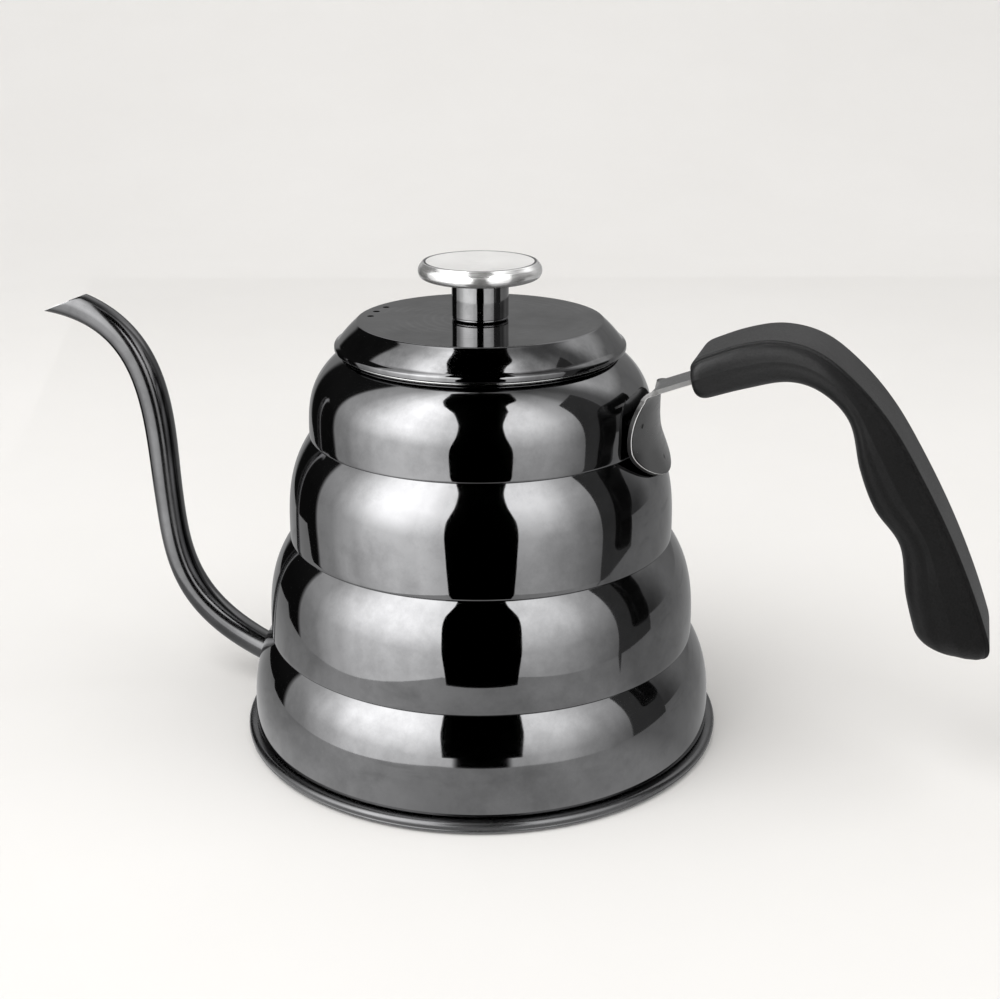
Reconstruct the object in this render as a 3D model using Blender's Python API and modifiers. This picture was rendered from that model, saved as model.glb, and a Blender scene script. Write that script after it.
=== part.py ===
"""Stovetop pour-over kettle with a gooseneck spout, a lift-off lid and a side handle.

Metres, +Z up. The origin is the middle of the underside of the base. The handle points
to +X and the spout to -X. Driving dimensions below are in millimetres.
"""

import math

import bmesh
import bpy
from mathutils import Matrix, Vector

MM = 0.001

# Clearance between neighbouring pieces
GAP = 0.3

# Facets round a full turn
BODY_STEPS = 48
SMALL_STEPS = 24
HOLE_STEPS = 16

# Body: four stacked rings, top to bottom. Each falls from its top edge, as (radius,
# height), out to its own widest radius by a power law, and ends in a vertical wall
RING_TOPS = ((40.7, 116.9), (49.9, 93.1), (56.6, 62.2), (63.4, 31.6))
RING_RADII = (50.3, 57.15, 64.05, 69.95)
RING_POWER = 3.3
RING_LIP = 0.9
BODY_FOOT = (69.2, 3.95)
MOUTH_ROLL = 1.3
COLLAR_BOTTOM = 107.5
BODY_WALL = 0.8

# Base: pan with a rolled rim, aluminium spreader and magnetic cap
RIM_RADIUS = 72.5
RIM_TOP = 3.65
RIM_BOTTOM = 0.5
PAN_FLOOR = 4.9
PAN_SHEET = 1.0
PAN_WALL_RADIUS = 67.5
SPREADER_RADIUS = 61.8
SPREADER_BOTTOM = 1.3
SPREADER_TOP = 4.5
CAP_RADIUS = 63.2
CAP_SHEET = 1.0
CAP_HEIGHT = 3.8

# Spout: two cubic curves in the X-Z plane, root to tip, as (x, z)
SPOUT_LOWER = ((-62.0, 8.85), (-102.1, 21.2), (-103.5, 39.5), (-105.1, 62.6))
SPOUT_UPPER = ((-105.1, 62.6), (-107.0, 89.0), (-103.0, 123.0), (-148.7, 124.5))
SPOUT_RADIUS = 4.8
SPOUT_BORE_RADIUS = 4.0
SPOUT_CUT_HIGH = (-128.6, 126.0)
SPOUT_CUT_LOW = (-142.5, 120.4)
SPOUT_POINTS = 16
WELD_FOOT_RADIUS = 6.9
WELD_HEIGHT = 2.2
WELD_CLEARANCE = 0.5
WELD_PLACE = 8.2
WELD_DEPTH = 3.0

# Handle bracket: leaf-shaped saddle plate and a strap bent out of its top edge
LEAF_CENTRE = 96.0
LEAF_HALF_WIDTH = 18.9
LEAF_RISE, LEAF_RISE_POWER = 16.5, 3.0
LEAF_DROP, LEAF_DROP_POWER = 10.5, 1.8
PLATE_TOP = 109.6
PLATE_SHEET = 1.4
PLATE_RADIUS = 51.5
PLATE_FLARE_FROM = 95.0
PLATE_FLARE = 0.46
PLATE_FLARE_BEND = 4.0
PLATE_LEAN_FROM = 100.0
PLATE_LEAN = 0.03
PLATE_ROWS = 17
PLATE_COLUMNS = 12
STRAP_START = (52.6, 110.0)
STRAP_HALF_WIDTH = 6.0
STRAP_ANGLE = 21.5
STRAP_END = 84.0
STRAP_BEND = 3.5
STRAP_HOLE_X = 76.0
STRAP_HOLE_RADIUS = 1.9
NUGGET_RADIUS = 1.7
NUGGET_REACH = 6.0
NUGGETS = (("upper_front", -13.2, 102.2), ("upper_rear", 13.2, 102.2), ("lower", 0.0, 89.8))

# Grip: outer and finger-side edges in the X-Z plane, strap end to free end, as (x, z)
GRIP_BACK = (
    (62.5, 121.1), (75.5, 126.5), (86.5, 128.5), (97.5, 126.0), (107.9, 118.4),
    (117.5, 107.9), (126.5, 94.1), (135.5, 78.0), (143.5, 60.8), (151.0, 41.2),
)
GRIP_FINGERS = (
    (64.8, 108.9), (78.0, 113.4), (89.6, 116.2), (98.7, 113.8), (106.3, 106.3),
    (110.0, 93.0), (116.6, 82.1), (122.3, 72.1), (125.2, 57.3), (130.2, 41.2),
)
GRIP_HALF_WIDTH = 12.9
GRIP_TOP_HALF_WIDTH = 11.9
GRIP_STATIONS = 26
FINE_STEPS = 200
GRIP_NEAR_ROUND = 4.4
GRIP_FAR_ROUND = 9.0
SLOT_HALF_WIDTH = 6.5
SLOT_HALF_HEIGHT = 1.2
SLOT_LENGTH = 44.0

# Grip screw and nut, measured along the screw's axis from the middle of the strap
GRIP_SCREW_RADIUS = 1.45
GRIP_SCREW_HEAD_RADIUS = 3.0
GRIP_SCREW_TIP = 4.2
GRIP_SCREW_SEAT = -4.5
GRIP_SCREW_HEAD = 2.1
COUNTERBORE_RADIUS = 3.5
COUNTERBORE_TOP = -4.2
HOLE_BOTTOM = -14.0
HOLE_TOP = 4.6
NUT_SIDE = 5.6
NUT_HEIGHT = 2.2
NUT_PLACE = 2.45
NUT_HOLE_RADIUS = 1.75
POCKET_SIDE = 6.4
POCKET_HEIGHT = 3.4
POCKET_PLACE = 2.3

# Lid: cover, skirt and knob, as radii and heights
LID_TOP = 126.5
LID_PLATE_RADIUS = 35.8
LID_RIM = (42.2, 118.4)
LID_SHEET = 0.8
LID_HOLE_RADIUS = 2.4
VENT_RADIUS = 1.0
VENT_CIRCLE = 32.0
VENT_SPACING = math.radians(11.4)
SKIRT_RADIUS = 38.0
SKIRT_SHEET = 0.6
SKIRT_BOTTOM = 108.5
SKIRT_FLANGE = 40.8
SKIRT_SEAT = 117.5
NECK_RADIUS = 8.2
NECK_BORE = 3.0
NECK_TOP = 138.0
FOOT_WASHER_RADIUS = 8.9
FOOT_WASHER_SHEET = 0.6
KNOB_RADIUS = 17.75
KNOB_BOTTOM = 138.3
KNOB_WAIST = 140.6
KNOB_TOP = 143.2
KNOB_BORE = 4.3
KNOB_BORE_TOP = 141.6
INSERT_BORE = 2.15
INSERT_TOP = 141.2
FLAT_WASHER_RADIUS = 5.2
FLAT_WASHER_SHEET = 0.8
SPRING_WASHER_RADIUS = 3.9
SPRING_WASHER_SHEET = 0.9
SCREW_RADIUS = 1.8
SCREW_TOP = 141.0
SCREW_HEAD_RADIUS = 3.7
SCREW_HEAD_HEIGHT = 2.6

# Colours as linear RGB
STEEL_DARK = (0.12, 0.12, 0.125)
STEEL_BRIGHT = (0.55, 0.55, 0.55)
ALUMINIUM = (0.75, 0.75, 0.76)
BRASS = (0.72, 0.52, 0.24)
PHENOLIC = (0.02, 0.02, 0.021)


# Scene


def clear_scene():
    for obj in list(bpy.data.objects):
        bpy.data.objects.remove(obj, do_unlink=True)
    for name in ("kettle", "cutters"):
        bpy.context.scene.collection.children.link(bpy.data.collections.new(name))


def make_material(name, colour, roughness, metallic):
    material = bpy.data.materials.new(name)
    material.use_nodes = True
    shader = material.node_tree.nodes["Principled BSDF"]
    shader.inputs["Base Color"].default_value = (*colour, 1.0)
    shader.inputs["Roughness"].default_value = roughness
    shader.inputs["Metallic"].default_value = metallic
    material.diffuse_color = (*colour, 1.0)
    return material


def add_object(name, mesh, look=None):
    """A kettle piece when it has a look, otherwise a hidden cutter."""
    obj = bpy.data.objects.new(name, mesh)
    if look:
        mesh.materials.append(make_material(name, *look))
        bpy.data.collections["kettle"].objects.link(obj)
    else:
        obj.hide_render = True
        obj.display_type = "WIRE"
        bpy.data.collections["cutters"].objects.link(obj)
    return obj


def shade_round(obj, angle=35.0):
    for polygon in obj.data.polygons:
        polygon.use_smooth = True
    obj.data.set_sharp_from_angle(angle=math.radians(angle))


def cut(obj, cutter):
    modifier = obj.modifiers.new("cut_" + cutter.name, "BOOLEAN")
    modifier.operation = "DIFFERENCE"
    modifier.solver = "EXACT"
    modifier.object = cutter


# Shapes


def scaled(points):
    return [(x * MM, 0.0, z * MM) for x, z in points]


def turned(name, profile, look=None, steps=BODY_STEPS, closed=False):
    """Profile of (radius, height) turned round Z; closed profiles never touch the axis."""
    mesh = bpy.data.meshes.new(name)
    count = len(profile)
    edges = [(i, i + 1) for i in range(count - 1)]
    if closed:
        edges.append((count - 1, 0))
    mesh.from_pydata(scaled(profile), edges, [])
    obj = add_object(name, mesh, look)
    screw = obj.modifiers.new("turn", "SCREW")
    screw.axis = "Z"
    screw.steps = steps
    screw.render_steps = steps
    screw.use_merge_vertices = True
    screw.merge_threshold = 0.00001
    screw.use_smooth_shade = True
    return obj


def washer(name, inner, outer, low, high, look, steps=SMALL_STEPS):
    profile = [(inner, high), (outer, high), (outer, low), (inner, low)]
    return turned(name, profile, look, steps, closed=True)


def cylinder(name, radius, low, high, centre, axis, look=None, steps=HOLE_STEPS):
    """Cylinder whose ends lie low and high along axis from centre."""
    work = bmesh.new()
    bmesh.ops.create_cone(
        work,
        cap_ends=True,
        cap_tris=False,
        segments=steps,
        radius1=radius * MM,
        radius2=radius * MM,
        depth=(high - low) * MM,
    )
    turn = Vector((0, 0, 1)).rotation_difference(Vector(axis)).to_matrix().to_4x4()
    middle = Vector(centre) + Vector(axis).normalized() * (low + high) / 2
    bmesh.ops.transform(work, matrix=Matrix.Translation(middle * MM) @ turn, verts=work.verts)
    mesh = bpy.data.meshes.new(name)
    work.to_mesh(mesh)
    work.free()
    return add_object(name, mesh, look)


def block(name, size, centre, tilt=0.0, look=None):
    """Box of the given size, tipped up towards +X by tilt degrees."""
    work = bmesh.new()
    bmesh.ops.create_cube(work, size=1.0)
    stretch = Matrix.Diagonal((size[0] * MM, size[1] * MM, size[2] * MM, 1.0))
    turn = Matrix.Rotation(math.radians(-tilt), 4, "Y")
    place = Matrix.Translation(Vector(centre) * MM)
    bmesh.ops.transform(work, matrix=place @ turn @ stretch, verts=work.verts)
    mesh = bpy.data.meshes.new(name)
    work.to_mesh(mesh)
    work.free()
    return add_object(name, mesh, look)


def cubic(controls, t):
    a, b, c, d = (Vector(p) for p in controls)
    s = 1.0 - t
    return a * s**3 + b * (3 * s * s * t) + c * (3 * s * t * t) + d * t**3


def through(controls, t):
    """Point at t from 0 to 1 on a smooth curve through the controls."""
    last = len(controls) - 1
    place = min(t * last, last - 1e-9)
    i = int(place)
    f = place - i
    p = [Vector(controls[max(0, min(last, k))]) for k in (i - 1, i, i + 1, i + 2)]
    if i == 0:
        p[0] = 2 * p[1] - p[2]
    if i + 2 > last:
        p[3] = 2 * p[2] - p[1]
    linear = (p[2] - p[0]) * f
    square = (2 * p[0] - 5 * p[1] + 4 * p[2] - p[3]) * f * f
    cube = (3 * p[1] - p[0] - 3 * p[2] + p[3]) * f**3
    return (2 * p[1] + linear + square + cube) / 2


# Body


def body_side():
    """Outer line of the body from the mouth edge to the foot."""
    shares = (1.0, 0.95, 0.89, 0.81, 0.71, 0.58, 0.42, 0.22)
    stops = RING_TOPS[1:] + (BODY_FOOT,)
    points = []
    for (top_r, top_z), (_, low_z), widest in zip(RING_TOPS, stops, RING_RADII):
        for t in shares:
            r = widest - (widest - top_r) * t**RING_POWER
            points.append(Vector((r, low_z + (top_z - low_z) * t)))
        points.append(Vector((widest, low_z + RING_LIP)))
    return points + [Vector(BODY_FOOT)]


def mouth_roll(count=4):
    """From the foot of the collar's inner face up and over to the mouth edge."""
    edge = Vector(RING_TOPS[0])
    drop = RING_TOPS[0][1] - RING_TOPS[1][1]
    slope = RING_POWER * (RING_RADII[0] - edge.x) / drop
    last = math.atan(slope)
    centre = edge - MOUTH_ROLL * Vector((math.cos(last), math.sin(last)))
    points = [Vector((centre.x - MOUTH_ROLL, COLLAR_BOTTOM))]
    for i in range(count):
        a = math.pi + (last - math.pi) * i / count
        points.append(centre + MOUTH_ROLL * Vector((math.cos(a), math.sin(a))))
    return points


def offset_line(points, distance):
    """The line moved to its right-hand side, corners kept sharp."""
    moved = []
    for i, point in enumerate(points):
        before = (point - points[i - 1]).normalized() if i else None
        after = (points[i + 1] - point).normalized() if i + 1 < len(points) else None
        before, after = before or after, after or before
        right = [Vector((v.y, -v.x)) for v in (before, after)]
        mitre = (right[0] + right[1]).normalized()
        moved.append(point + mitre * distance / mitre.dot(right[0]))
    return moved


def body_envelope():
    """Cutter that fills the body and the clearance round it."""
    side = offset_line(body_side(), -GAP)
    profile = [(0.0, side[0].y), *[tuple(p) for p in side], (side[-1].x, -5.0), (0.0, -5.0)]
    return turned("body_envelope", profile)


def make_body():
    line = mouth_roll() + body_side()
    inner = offset_line(line, BODY_WALL)
    profile = [tuple(p) for p in line + inner[::-1]]
    body = turned("body_shell", profile, (STEEL_DARK, 0.08, 1.0), closed=True)
    start, towards = spout_root()
    hole = cylinder("spout_hole", SPOUT_BORE_RADIUS, -6.0, 16.0, start, towards)
    cut(body, hole)


def make_base():
    sheet_top = PAN_FLOOR + PAN_SHEET
    wall = PAN_WALL_RADIUS
    pan = [
        (0.0, sheet_top), (wall - 1.5, sheet_top), (wall - 0.9, sheet_top + 1.0),
        (wall, sheet_top + 1.0), (wall, RIM_TOP), (RIM_RADIUS - 1.1, RIM_TOP),
        (RIM_RADIUS - 0.3, RIM_TOP - 0.4), (RIM_RADIUS, RIM_TOP - 1.1),
        (RIM_RADIUS, RIM_BOTTOM + 0.9), (RIM_RADIUS - 0.7, RIM_BOTTOM),
        (RIM_RADIUS - 2.9, RIM_BOTTOM), (RIM_RADIUS - 3.9, RIM_BOTTOM + 0.9),
        (wall - 1.9, RIM_BOTTOM + 1.9), (wall - 2.5, PAN_FLOOR), (0.0, PAN_FLOOR),
    ]
    turned("base_pan", pan, (STEEL_DARK, 0.3, 1.0))
    spreader = [
        (0.0, SPREADER_TOP), (SPREADER_RADIUS, SPREADER_TOP),
        (SPREADER_RADIUS, SPREADER_BOTTOM), (0.0, SPREADER_BOTTOM),
    ]
    turned("heat_spreader", spreader, (ALUMINIUM, 0.45, 1.0))
    cap = [
        (0.0, CAP_SHEET), (CAP_RADIUS - 1.0, CAP_SHEET), (CAP_RADIUS - 1.0, CAP_HEIGHT),
        (CAP_RADIUS, CAP_HEIGHT), (CAP_RADIUS, 0.6), (CAP_RADIUS - 0.6, 0.0), (0.0, 0.0),
    ]
    turned("base_cap", cap, (STEEL_BRIGHT, 0.35, 1.0))


# Spout


def spout_root():
    """Start of the spout's centre line and its direction there."""
    start, second = SPOUT_LOWER[0], SPOUT_LOWER[1]
    towards = Vector((second[0] - start[0], 0.0, second[1] - start[1])).normalized()
    return Vector((start[0], 0.0, start[1])), towards


def spout_line():
    points = [cubic(SPOUT_LOWER, i / SPOUT_POINTS) for i in range(SPOUT_POINTS)]
    return points + [cubic(SPOUT_UPPER, i / SPOUT_POINTS) for i in range(SPOUT_POINTS + 1)]


def pipe(name, points, radius, look=None):
    """Round bar along points, as a closed mesh."""
    curve = bpy.data.curves.new(name + "_curve", "CURVE")
    curve.dimensions = "3D"
    curve.bevel_depth = radius * MM
    curve.bevel_resolution = 3
    curve.use_fill_caps = True
    spline = curve.splines.new("POLY")
    spline.points.add(len(points) - 1)
    for target, point in zip(spline.points, points):
        target.co = (point.x * MM, 0.0, point.y * MM, 1.0)
    guide = bpy.data.objects.new(name + "_guide", curve)
    bpy.context.scene.collection.objects.link(guide)
    graph = bpy.context.evaluated_depsgraph_get()
    mesh = bpy.data.meshes.new_from_object(guide.evaluated_get(graph))
    mesh.transform(guide.matrix_world)
    bpy.data.objects.remove(guide, do_unlink=True)
    bpy.data.curves.remove(curve)
    work = bmesh.new()
    work.from_mesh(mesh)
    bmesh.ops.remove_doubles(work, verts=work.verts, dist=1e-6)
    bmesh.ops.recalc_face_normals(work, faces=work.faces)
    work.to_mesh(mesh)
    work.free()
    mesh.materials.clear()
    return add_object(name, mesh, look)


def make_spout(envelope):
    line = spout_line()
    spout = pipe("spout_tube", line, SPOUT_RADIUS, (STEEL_DARK, 0.1, 1.0))
    ends = [2 * line[0] - line[1]] + line + [2 * line[-1] - line[-2]]
    bore = pipe("spout_bore", ends, SPOUT_BORE_RADIUS)
    high, low = Vector(SPOUT_CUT_HIGH), Vector(SPOUT_CUT_LOW)
    slope = (high - low).normalized()
    up = Vector((-slope.y, slope.x))
    middle = (high + low) / 2 + up * 15.0
    tilt = math.degrees(math.atan2(slope.y, slope.x))
    slice_block = block("spout_slice", (60.0, 30.0, 30.0), (middle.x, 0.0, middle.y), tilt)
    cut(spout, bore)
    cut(spout, slice_block)
    cut(spout, envelope)
    shade_round(spout)
    make_spout_weld(envelope)


def make_spout_weld(envelope):
    """Cone of weld metal round the root of the spout."""
    inner = SPOUT_RADIUS + WELD_CLEARANCE
    start, towards = spout_root()
    profile = [
        (inner, WELD_HEIGHT), (inner + 0.35, WELD_HEIGHT), (WELD_FOOT_RADIUS, 0.0),
        (WELD_FOOT_RADIUS, -WELD_DEPTH), (inner, -WELD_DEPTH),
    ]
    weld = turned("spout_weld", profile, (STEEL_DARK, 0.25, 1.0), SMALL_STEPS, closed=True)
    turn = Vector((0, 0, 1)).rotation_difference(towards)
    weld.rotation_mode = "QUATERNION"
    weld.rotation_quaternion = turn
    weld.location = (start + towards * WELD_PLACE) * MM
    cut(weld, envelope)


# Handle


def plate_radius(height):
    """Middle of the saddle plate's sheet: straight above, flared over the ring below."""
    below = PLATE_FLARE_FROM - height
    flare = PLATE_FLARE * (below + math.hypot(below, PLATE_FLARE_BEND)) / 2
    return PLATE_RADIUS + flare + PLATE_LEAN * max(0.0, height - PLATE_LEAN_FROM)


def strap_point(distance):
    """Middle of the strap at a distance along it from the bend."""
    a = math.radians(STRAP_ANGLE)
    return Vector(STRAP_START) + distance * Vector((math.cos(a), math.sin(a)))


def leaf_width(height):
    above = height > LEAF_CENTRE
    span, power = (LEAF_RISE, LEAF_RISE_POWER) if above else (LEAF_DROP, LEAF_DROP_POWER)
    t = min(1.0, abs(height - LEAF_CENTRE) / span)
    return LEAF_HALF_WIDTH * (1 - t**power) ** (1 / power)


def blended_width(height):
    """Half width where the leaf runs into the strap."""
    return (leaf_width(height) ** 4 + STRAP_HALF_WIDTH**4) ** 0.25


def bracket_rows():
    """Rows from the plate's lower tip to the strap's end: (x, z, half width, curl)."""
    rows = []
    bottom, top = LEAF_CENTRE - LEAF_DROP + 0.15, PLATE_TOP - 0.9
    for i in range(PLATE_ROWS):
        height = bottom + (top - bottom) * i / (PLATE_ROWS - 1)
        width = blended_width(height) if height > LEAF_CENTRE else leaf_width(height)
        rows.append((plate_radius(height), height, width, 1.0))
    for distance in (0.9, 2.0, STRAP_BEND, 6.0, 12.0, 22.0):
        point = strap_point(distance)
        width = blended_width(PLATE_TOP - 0.3 + distance)
        rows.append((point.x, point.y, width, max(0.0, 1.0 - distance / STRAP_BEND)))
    point = strap_point(strap_length())
    rows.append((point.x, point.y, STRAP_HALF_WIDTH, 0.0))
    return rows


def strap_length():
    return (STRAP_END - STRAP_START[0]) / math.cos(math.radians(STRAP_ANGLE))


def make_bracket():
    points, faces = [], []
    rows = bracket_rows()
    stride = PLATE_COLUMNS + 1
    for x, z, width, curl in rows:
        for j in range(stride):
            across = width * (2 * j / PLATE_COLUMNS - 1)
            angle = across / x
            curled = Vector((x * math.cos(angle), x * math.sin(angle)))
            flat = Vector((x, across))
            spot = curled * curl + flat * (1 - curl)
            points.append((spot.x * MM, spot.y * MM, z * MM))
    for i in range(len(rows) - 1):
        for j in range(PLATE_COLUMNS):
            a = i * stride + j
            faces.append((a, a + 1, a + 1 + stride, a + stride))
    mesh = bpy.data.meshes.new("handle_bracket")
    mesh.from_pydata(points, [], faces)
    bracket = add_object("handle_bracket", mesh, (STEEL_BRIGHT, 0.2, 1.0))
    solid = bracket.modifiers.new("sheet", "SOLIDIFY")
    solid.thickness = PLATE_SHEET * MM
    solid.offset = 0.0
    solid.use_even_offset = True
    centre, axis = grip_screw_axis()
    cut(bracket, cylinder("strap_hole", STRAP_HOLE_RADIUS, -4.0, 4.0, centre, axis))
    shade_round(bracket, 40.0)


def make_nuggets(envelope):
    """Spot welds that hold the saddle plate to the body, each square to the plate."""
    for word, across, height in NUGGETS:
        step = 0.5
        slope = (plate_radius(height - step) - plate_radius(height + step)) / (2 * step)
        angle = across / plate_radius(height)
        axis = Vector((math.cos(angle), math.sin(angle), slope)).normalized()
        radius = plate_radius(height)
        centre = (radius * math.cos(angle), radius * math.sin(angle), height)
        inner, outer = -NUGGET_REACH, -PLATE_SHEET / 2 - GAP
        look = (STEEL_DARK, 0.4, 1.0)
        name = "spot_weld_" + word
        cut(cylinder(name, NUGGET_RADIUS, inner, outer, centre, axis, look, 16), envelope)


def grip_screw_axis():
    """A point on the strap's middle and the direction out through its top face."""
    a = math.radians(STRAP_ANGLE)
    point = strap_point((STRAP_HOLE_X - STRAP_START[0]) / math.cos(a))
    return Vector((point.x, 0.0, point.y)), Vector((-math.sin(a), 0.0, math.cos(a)))


def grip_section(thickness):
    """Half outline from the middle of the back face to the middle of the finger side.

    Each point is (half width, height from the middle of the thickness).
    """
    h = thickness / 2
    top, side = GRIP_TOP_HALF_WIDTH, GRIP_HALF_WIDTH
    low = min(5.0, h * 0.9)
    return [
        (0.0, h), (top * 0.6, h), (top - 0.3, h), (top, h - 0.3), (top - 0.1, h - 0.9),
        (side - 0.5, h - 1.4), (side, h - 3.0), (side, 0.4 * (h - low)),
        (side - 0.4, -h + low), (side - 1.6, -h + low * 0.5),
        (side - 4.2, -h + low * 0.12), (side - 7.5, -h), (0.0, -h),
    ]


def rounding(distance, radius, power=3.0):
    """Share of the full size at a distance from a rounded end."""
    if distance >= radius:
        return 1.0
    f = 1 - max(0.0, distance) / radius
    return (1 - f**power) ** (1 / power)


def grip_rings():
    """Cross-sections of the grip from the strap end to the free end."""
    middle = []
    for i in range(FINE_STEPS + 1):
        share = i / FINE_STEPS
        middle.append((through(GRIP_BACK, share) + through(GRIP_FINGERS, share)) / 2)
    travel = [0.0]
    for a, b in zip(middle, middle[1:]):
        travel.append(travel[-1] + (b - a).length)
    total = travel[-1]
    near = [0.0, 0.25, 0.9, 2.0, 3.5]
    far = [0.0, 0.2, 0.8, 1.9, 3.6, 6.0]
    first, last = GRIP_NEAR_ROUND + 1, total - GRIP_FAR_ROUND
    body = [first + (last - first) * i / (GRIP_STATIONS - 1) for i in range(GRIP_STATIONS)]
    places = near + body + [total - d for d in reversed(far)]
    rings = []
    for place in places:
        k = next((i for i, t in enumerate(travel) if t >= place), len(travel) - 1)
        t = k / FINE_STEPS
        back, fingers = through(GRIP_BACK, t), through(GRIP_FINGERS, t)
        centre = (back + fingers) / 2
        up = (back - fingers).normalized()
        full = (back - fingers).length
        scale = max(0.12, rounding(place, GRIP_NEAR_ROUND))
        narrow = 0.55 + 0.45 * rounding(place, GRIP_NEAR_ROUND)
        shrink = rounding(total - place, GRIP_FAR_ROUND)
        high = (0.62 + 0.38 * scale) * max(0.1, shrink)
        wide = narrow * max(0.1, 0.3 + 0.7 * shrink)
        rings.append((centre, up, full, wide, high))
    return rings


def make_grip():
    points, faces = [], []
    rings = grip_rings()
    for centre, up, full, wide, high in rings:
        half = grip_section(full)
        outline = half + [(-y, p) for y, p in reversed(half[1:-1])]
        for across, rise in outline:
            spot = centre + up * rise * high
            points.append((spot.x * MM, across * wide * MM, spot.y * MM))
    stride = len(outline)
    for i in range(len(rings) - 1):
        for j in range(stride):
            a, b = i * stride + j, i * stride + (j + 1) % stride
            faces.append((a, b, b + stride, a + stride))
    faces.append(tuple(range(stride))[::-1])
    faces.append(tuple((len(rings) - 1) * stride + j for j in range(stride)))
    mesh = bpy.data.meshes.new("handle_grip")
    mesh.from_pydata(points, [], faces)
    work = bmesh.new()
    work.from_mesh(mesh)
    bmesh.ops.recalc_face_normals(work, faces=work.faces)
    work.to_mesh(mesh)
    work.free()
    grip = add_object("handle_grip", mesh, (PHENOLIC, 0.55, 0.0))
    cut_grip(grip)
    shade_round(grip, 30.0)


def cut_grip(grip):
    """Slot for the strap, pocket for the nut and a counterbored hole for the screw."""
    middle = strap_point(strap_length() + 1.0 - SLOT_LENGTH / 2)
    size = (SLOT_LENGTH, 2 * SLOT_HALF_WIDTH, 2 * SLOT_HALF_HEIGHT)
    cut(grip, block("strap_slot", size, (middle.x, 0.0, middle.y), STRAP_ANGLE))
    centre, axis = grip_screw_axis()
    hole = cylinder("grip_screw_hole", STRAP_HOLE_RADIUS, HOLE_BOTTOM, HOLE_TOP, centre, axis)
    cut(grip, hole)
    wide = (COUNTERBORE_RADIUS, HOLE_BOTTOM, COUNTERBORE_TOP)
    cut(grip, cylinder("grip_counterbore", *wide, centre, axis))
    size = (POCKET_SIDE, POCKET_SIDE, POCKET_HEIGHT)
    cut(grip, block("nut_pocket", size, centre + axis * POCKET_PLACE, STRAP_ANGLE))


def make_grip_fixings():
    centre, axis = grip_screw_axis()
    seat, end = GRIP_SCREW_SEAT, GRIP_SCREW_SEAT - GRIP_SCREW_HEAD
    profile = [
        (0.0, GRIP_SCREW_TIP), (GRIP_SCREW_RADIUS, GRIP_SCREW_TIP), (GRIP_SCREW_RADIUS, seat),
        (GRIP_SCREW_HEAD_RADIUS, seat), (GRIP_SCREW_HEAD_RADIUS, seat - 1.1),
        (GRIP_SCREW_HEAD_RADIUS - 0.8, end + 0.2), (0.0, end),
    ]
    screw = turned("grip_screw", profile, (STEEL_BRIGHT, 0.3, 1.0), SMALL_STEPS)
    screw.rotation_mode = "QUATERNION"
    screw.rotation_quaternion = Vector((0, 0, 1)).rotation_difference(axis)
    screw.location = centre * MM
    size = (NUT_SIDE, NUT_SIDE, NUT_HEIGHT)
    look = (STEEL_BRIGHT, 0.4, 1.0)
    nut = block("grip_nut", size, centre + axis * NUT_PLACE, STRAP_ANGLE, look)
    cut(nut, cylinder("nut_hole", NUT_HOLE_RADIUS, -2.0, 8.0, centre, axis))


# Lid


def make_lid():
    rim_r, rim_z = LID_RIM
    under = LID_TOP - LID_SHEET
    cover = [
        (LID_HOLE_RADIUS, LID_TOP), (LID_PLATE_RADIUS - 0.5, LID_TOP),
        (LID_PLATE_RADIUS + 0.1, LID_TOP - 0.35), (rim_r - 0.2, rim_z + 0.7),
        (rim_r, rim_z + 0.2), (rim_r - 0.2, rim_z), (rim_r - 0.8, rim_z),
        (rim_r - 1.05, rim_z + 0.6), (LID_PLATE_RADIUS - 0.65, under),
        (LID_HOLE_RADIUS, under),
    ]
    lid = turned("lid_cover", cover, (STEEL_DARK, 0.1, 1.0), closed=True)
    for i, word in enumerate(("front", "middle", "rear")):
        a = math.pi + VENT_SPACING * (1 - i)
        spot = (VENT_CIRCLE * math.cos(a), VENT_CIRCLE * math.sin(a), LID_TOP)
        cut(lid, cylinder("vent_" + word, VENT_RADIUS, -4.0, 2.0, spot, (0, 0, 1), steps=16))
    inner = SKIRT_RADIUS - SKIRT_SHEET
    skirt = [
        (inner, SKIRT_SEAT + SKIRT_SHEET), (SKIRT_FLANGE, SKIRT_SEAT + SKIRT_SHEET),
        (SKIRT_FLANGE, SKIRT_SEAT), (SKIRT_RADIUS, SKIRT_SEAT),
        (SKIRT_RADIUS, SKIRT_BOTTOM), (inner, SKIRT_BOTTOM),
    ]
    turned("lid_skirt", skirt, (STEEL_BRIGHT, 0.25, 1.0), closed=True)


def make_knob():
    foot = LID_TOP + GAP
    foot_top = foot + FOOT_WASHER_SHEET
    look = (STEEL_DARK, 0.2, 1.0)
    washer("knob_foot_washer", LID_HOLE_RADIUS, FOOT_WASHER_RADIUS, foot, foot_top, look)
    look = (STEEL_DARK, 0.1, 1.0)
    washer("knob_neck", NECK_BORE, NECK_RADIUS, foot_top + GAP, NECK_TOP, look)
    r = KNOB_RADIUS
    cap = [
        (0.0, KNOB_TOP - 0.45), (4.0, KNOB_TOP - 0.4), (r - 2.6, KNOB_TOP),
        (r - 1.15, KNOB_TOP - 0.1), (r - 0.3, KNOB_TOP - 1.2), (r, KNOB_WAIST),
        (r - 0.35, KNOB_BOTTOM + 0.9), (r - 1.3, KNOB_BOTTOM), (KNOB_BORE, KNOB_BOTTOM),
        (KNOB_BORE, KNOB_BORE_TOP), (0.0, KNOB_BORE_TOP),
    ]
    turned("knob_cap", cap, (STEEL_BRIGHT, 0.12, 1.0))
    look = (BRASS, 0.35, 1.0)
    washer("knob_insert", INSERT_BORE, KNOB_BORE - GAP, KNOB_BOTTOM + GAP, INSERT_TOP, look)


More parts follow.
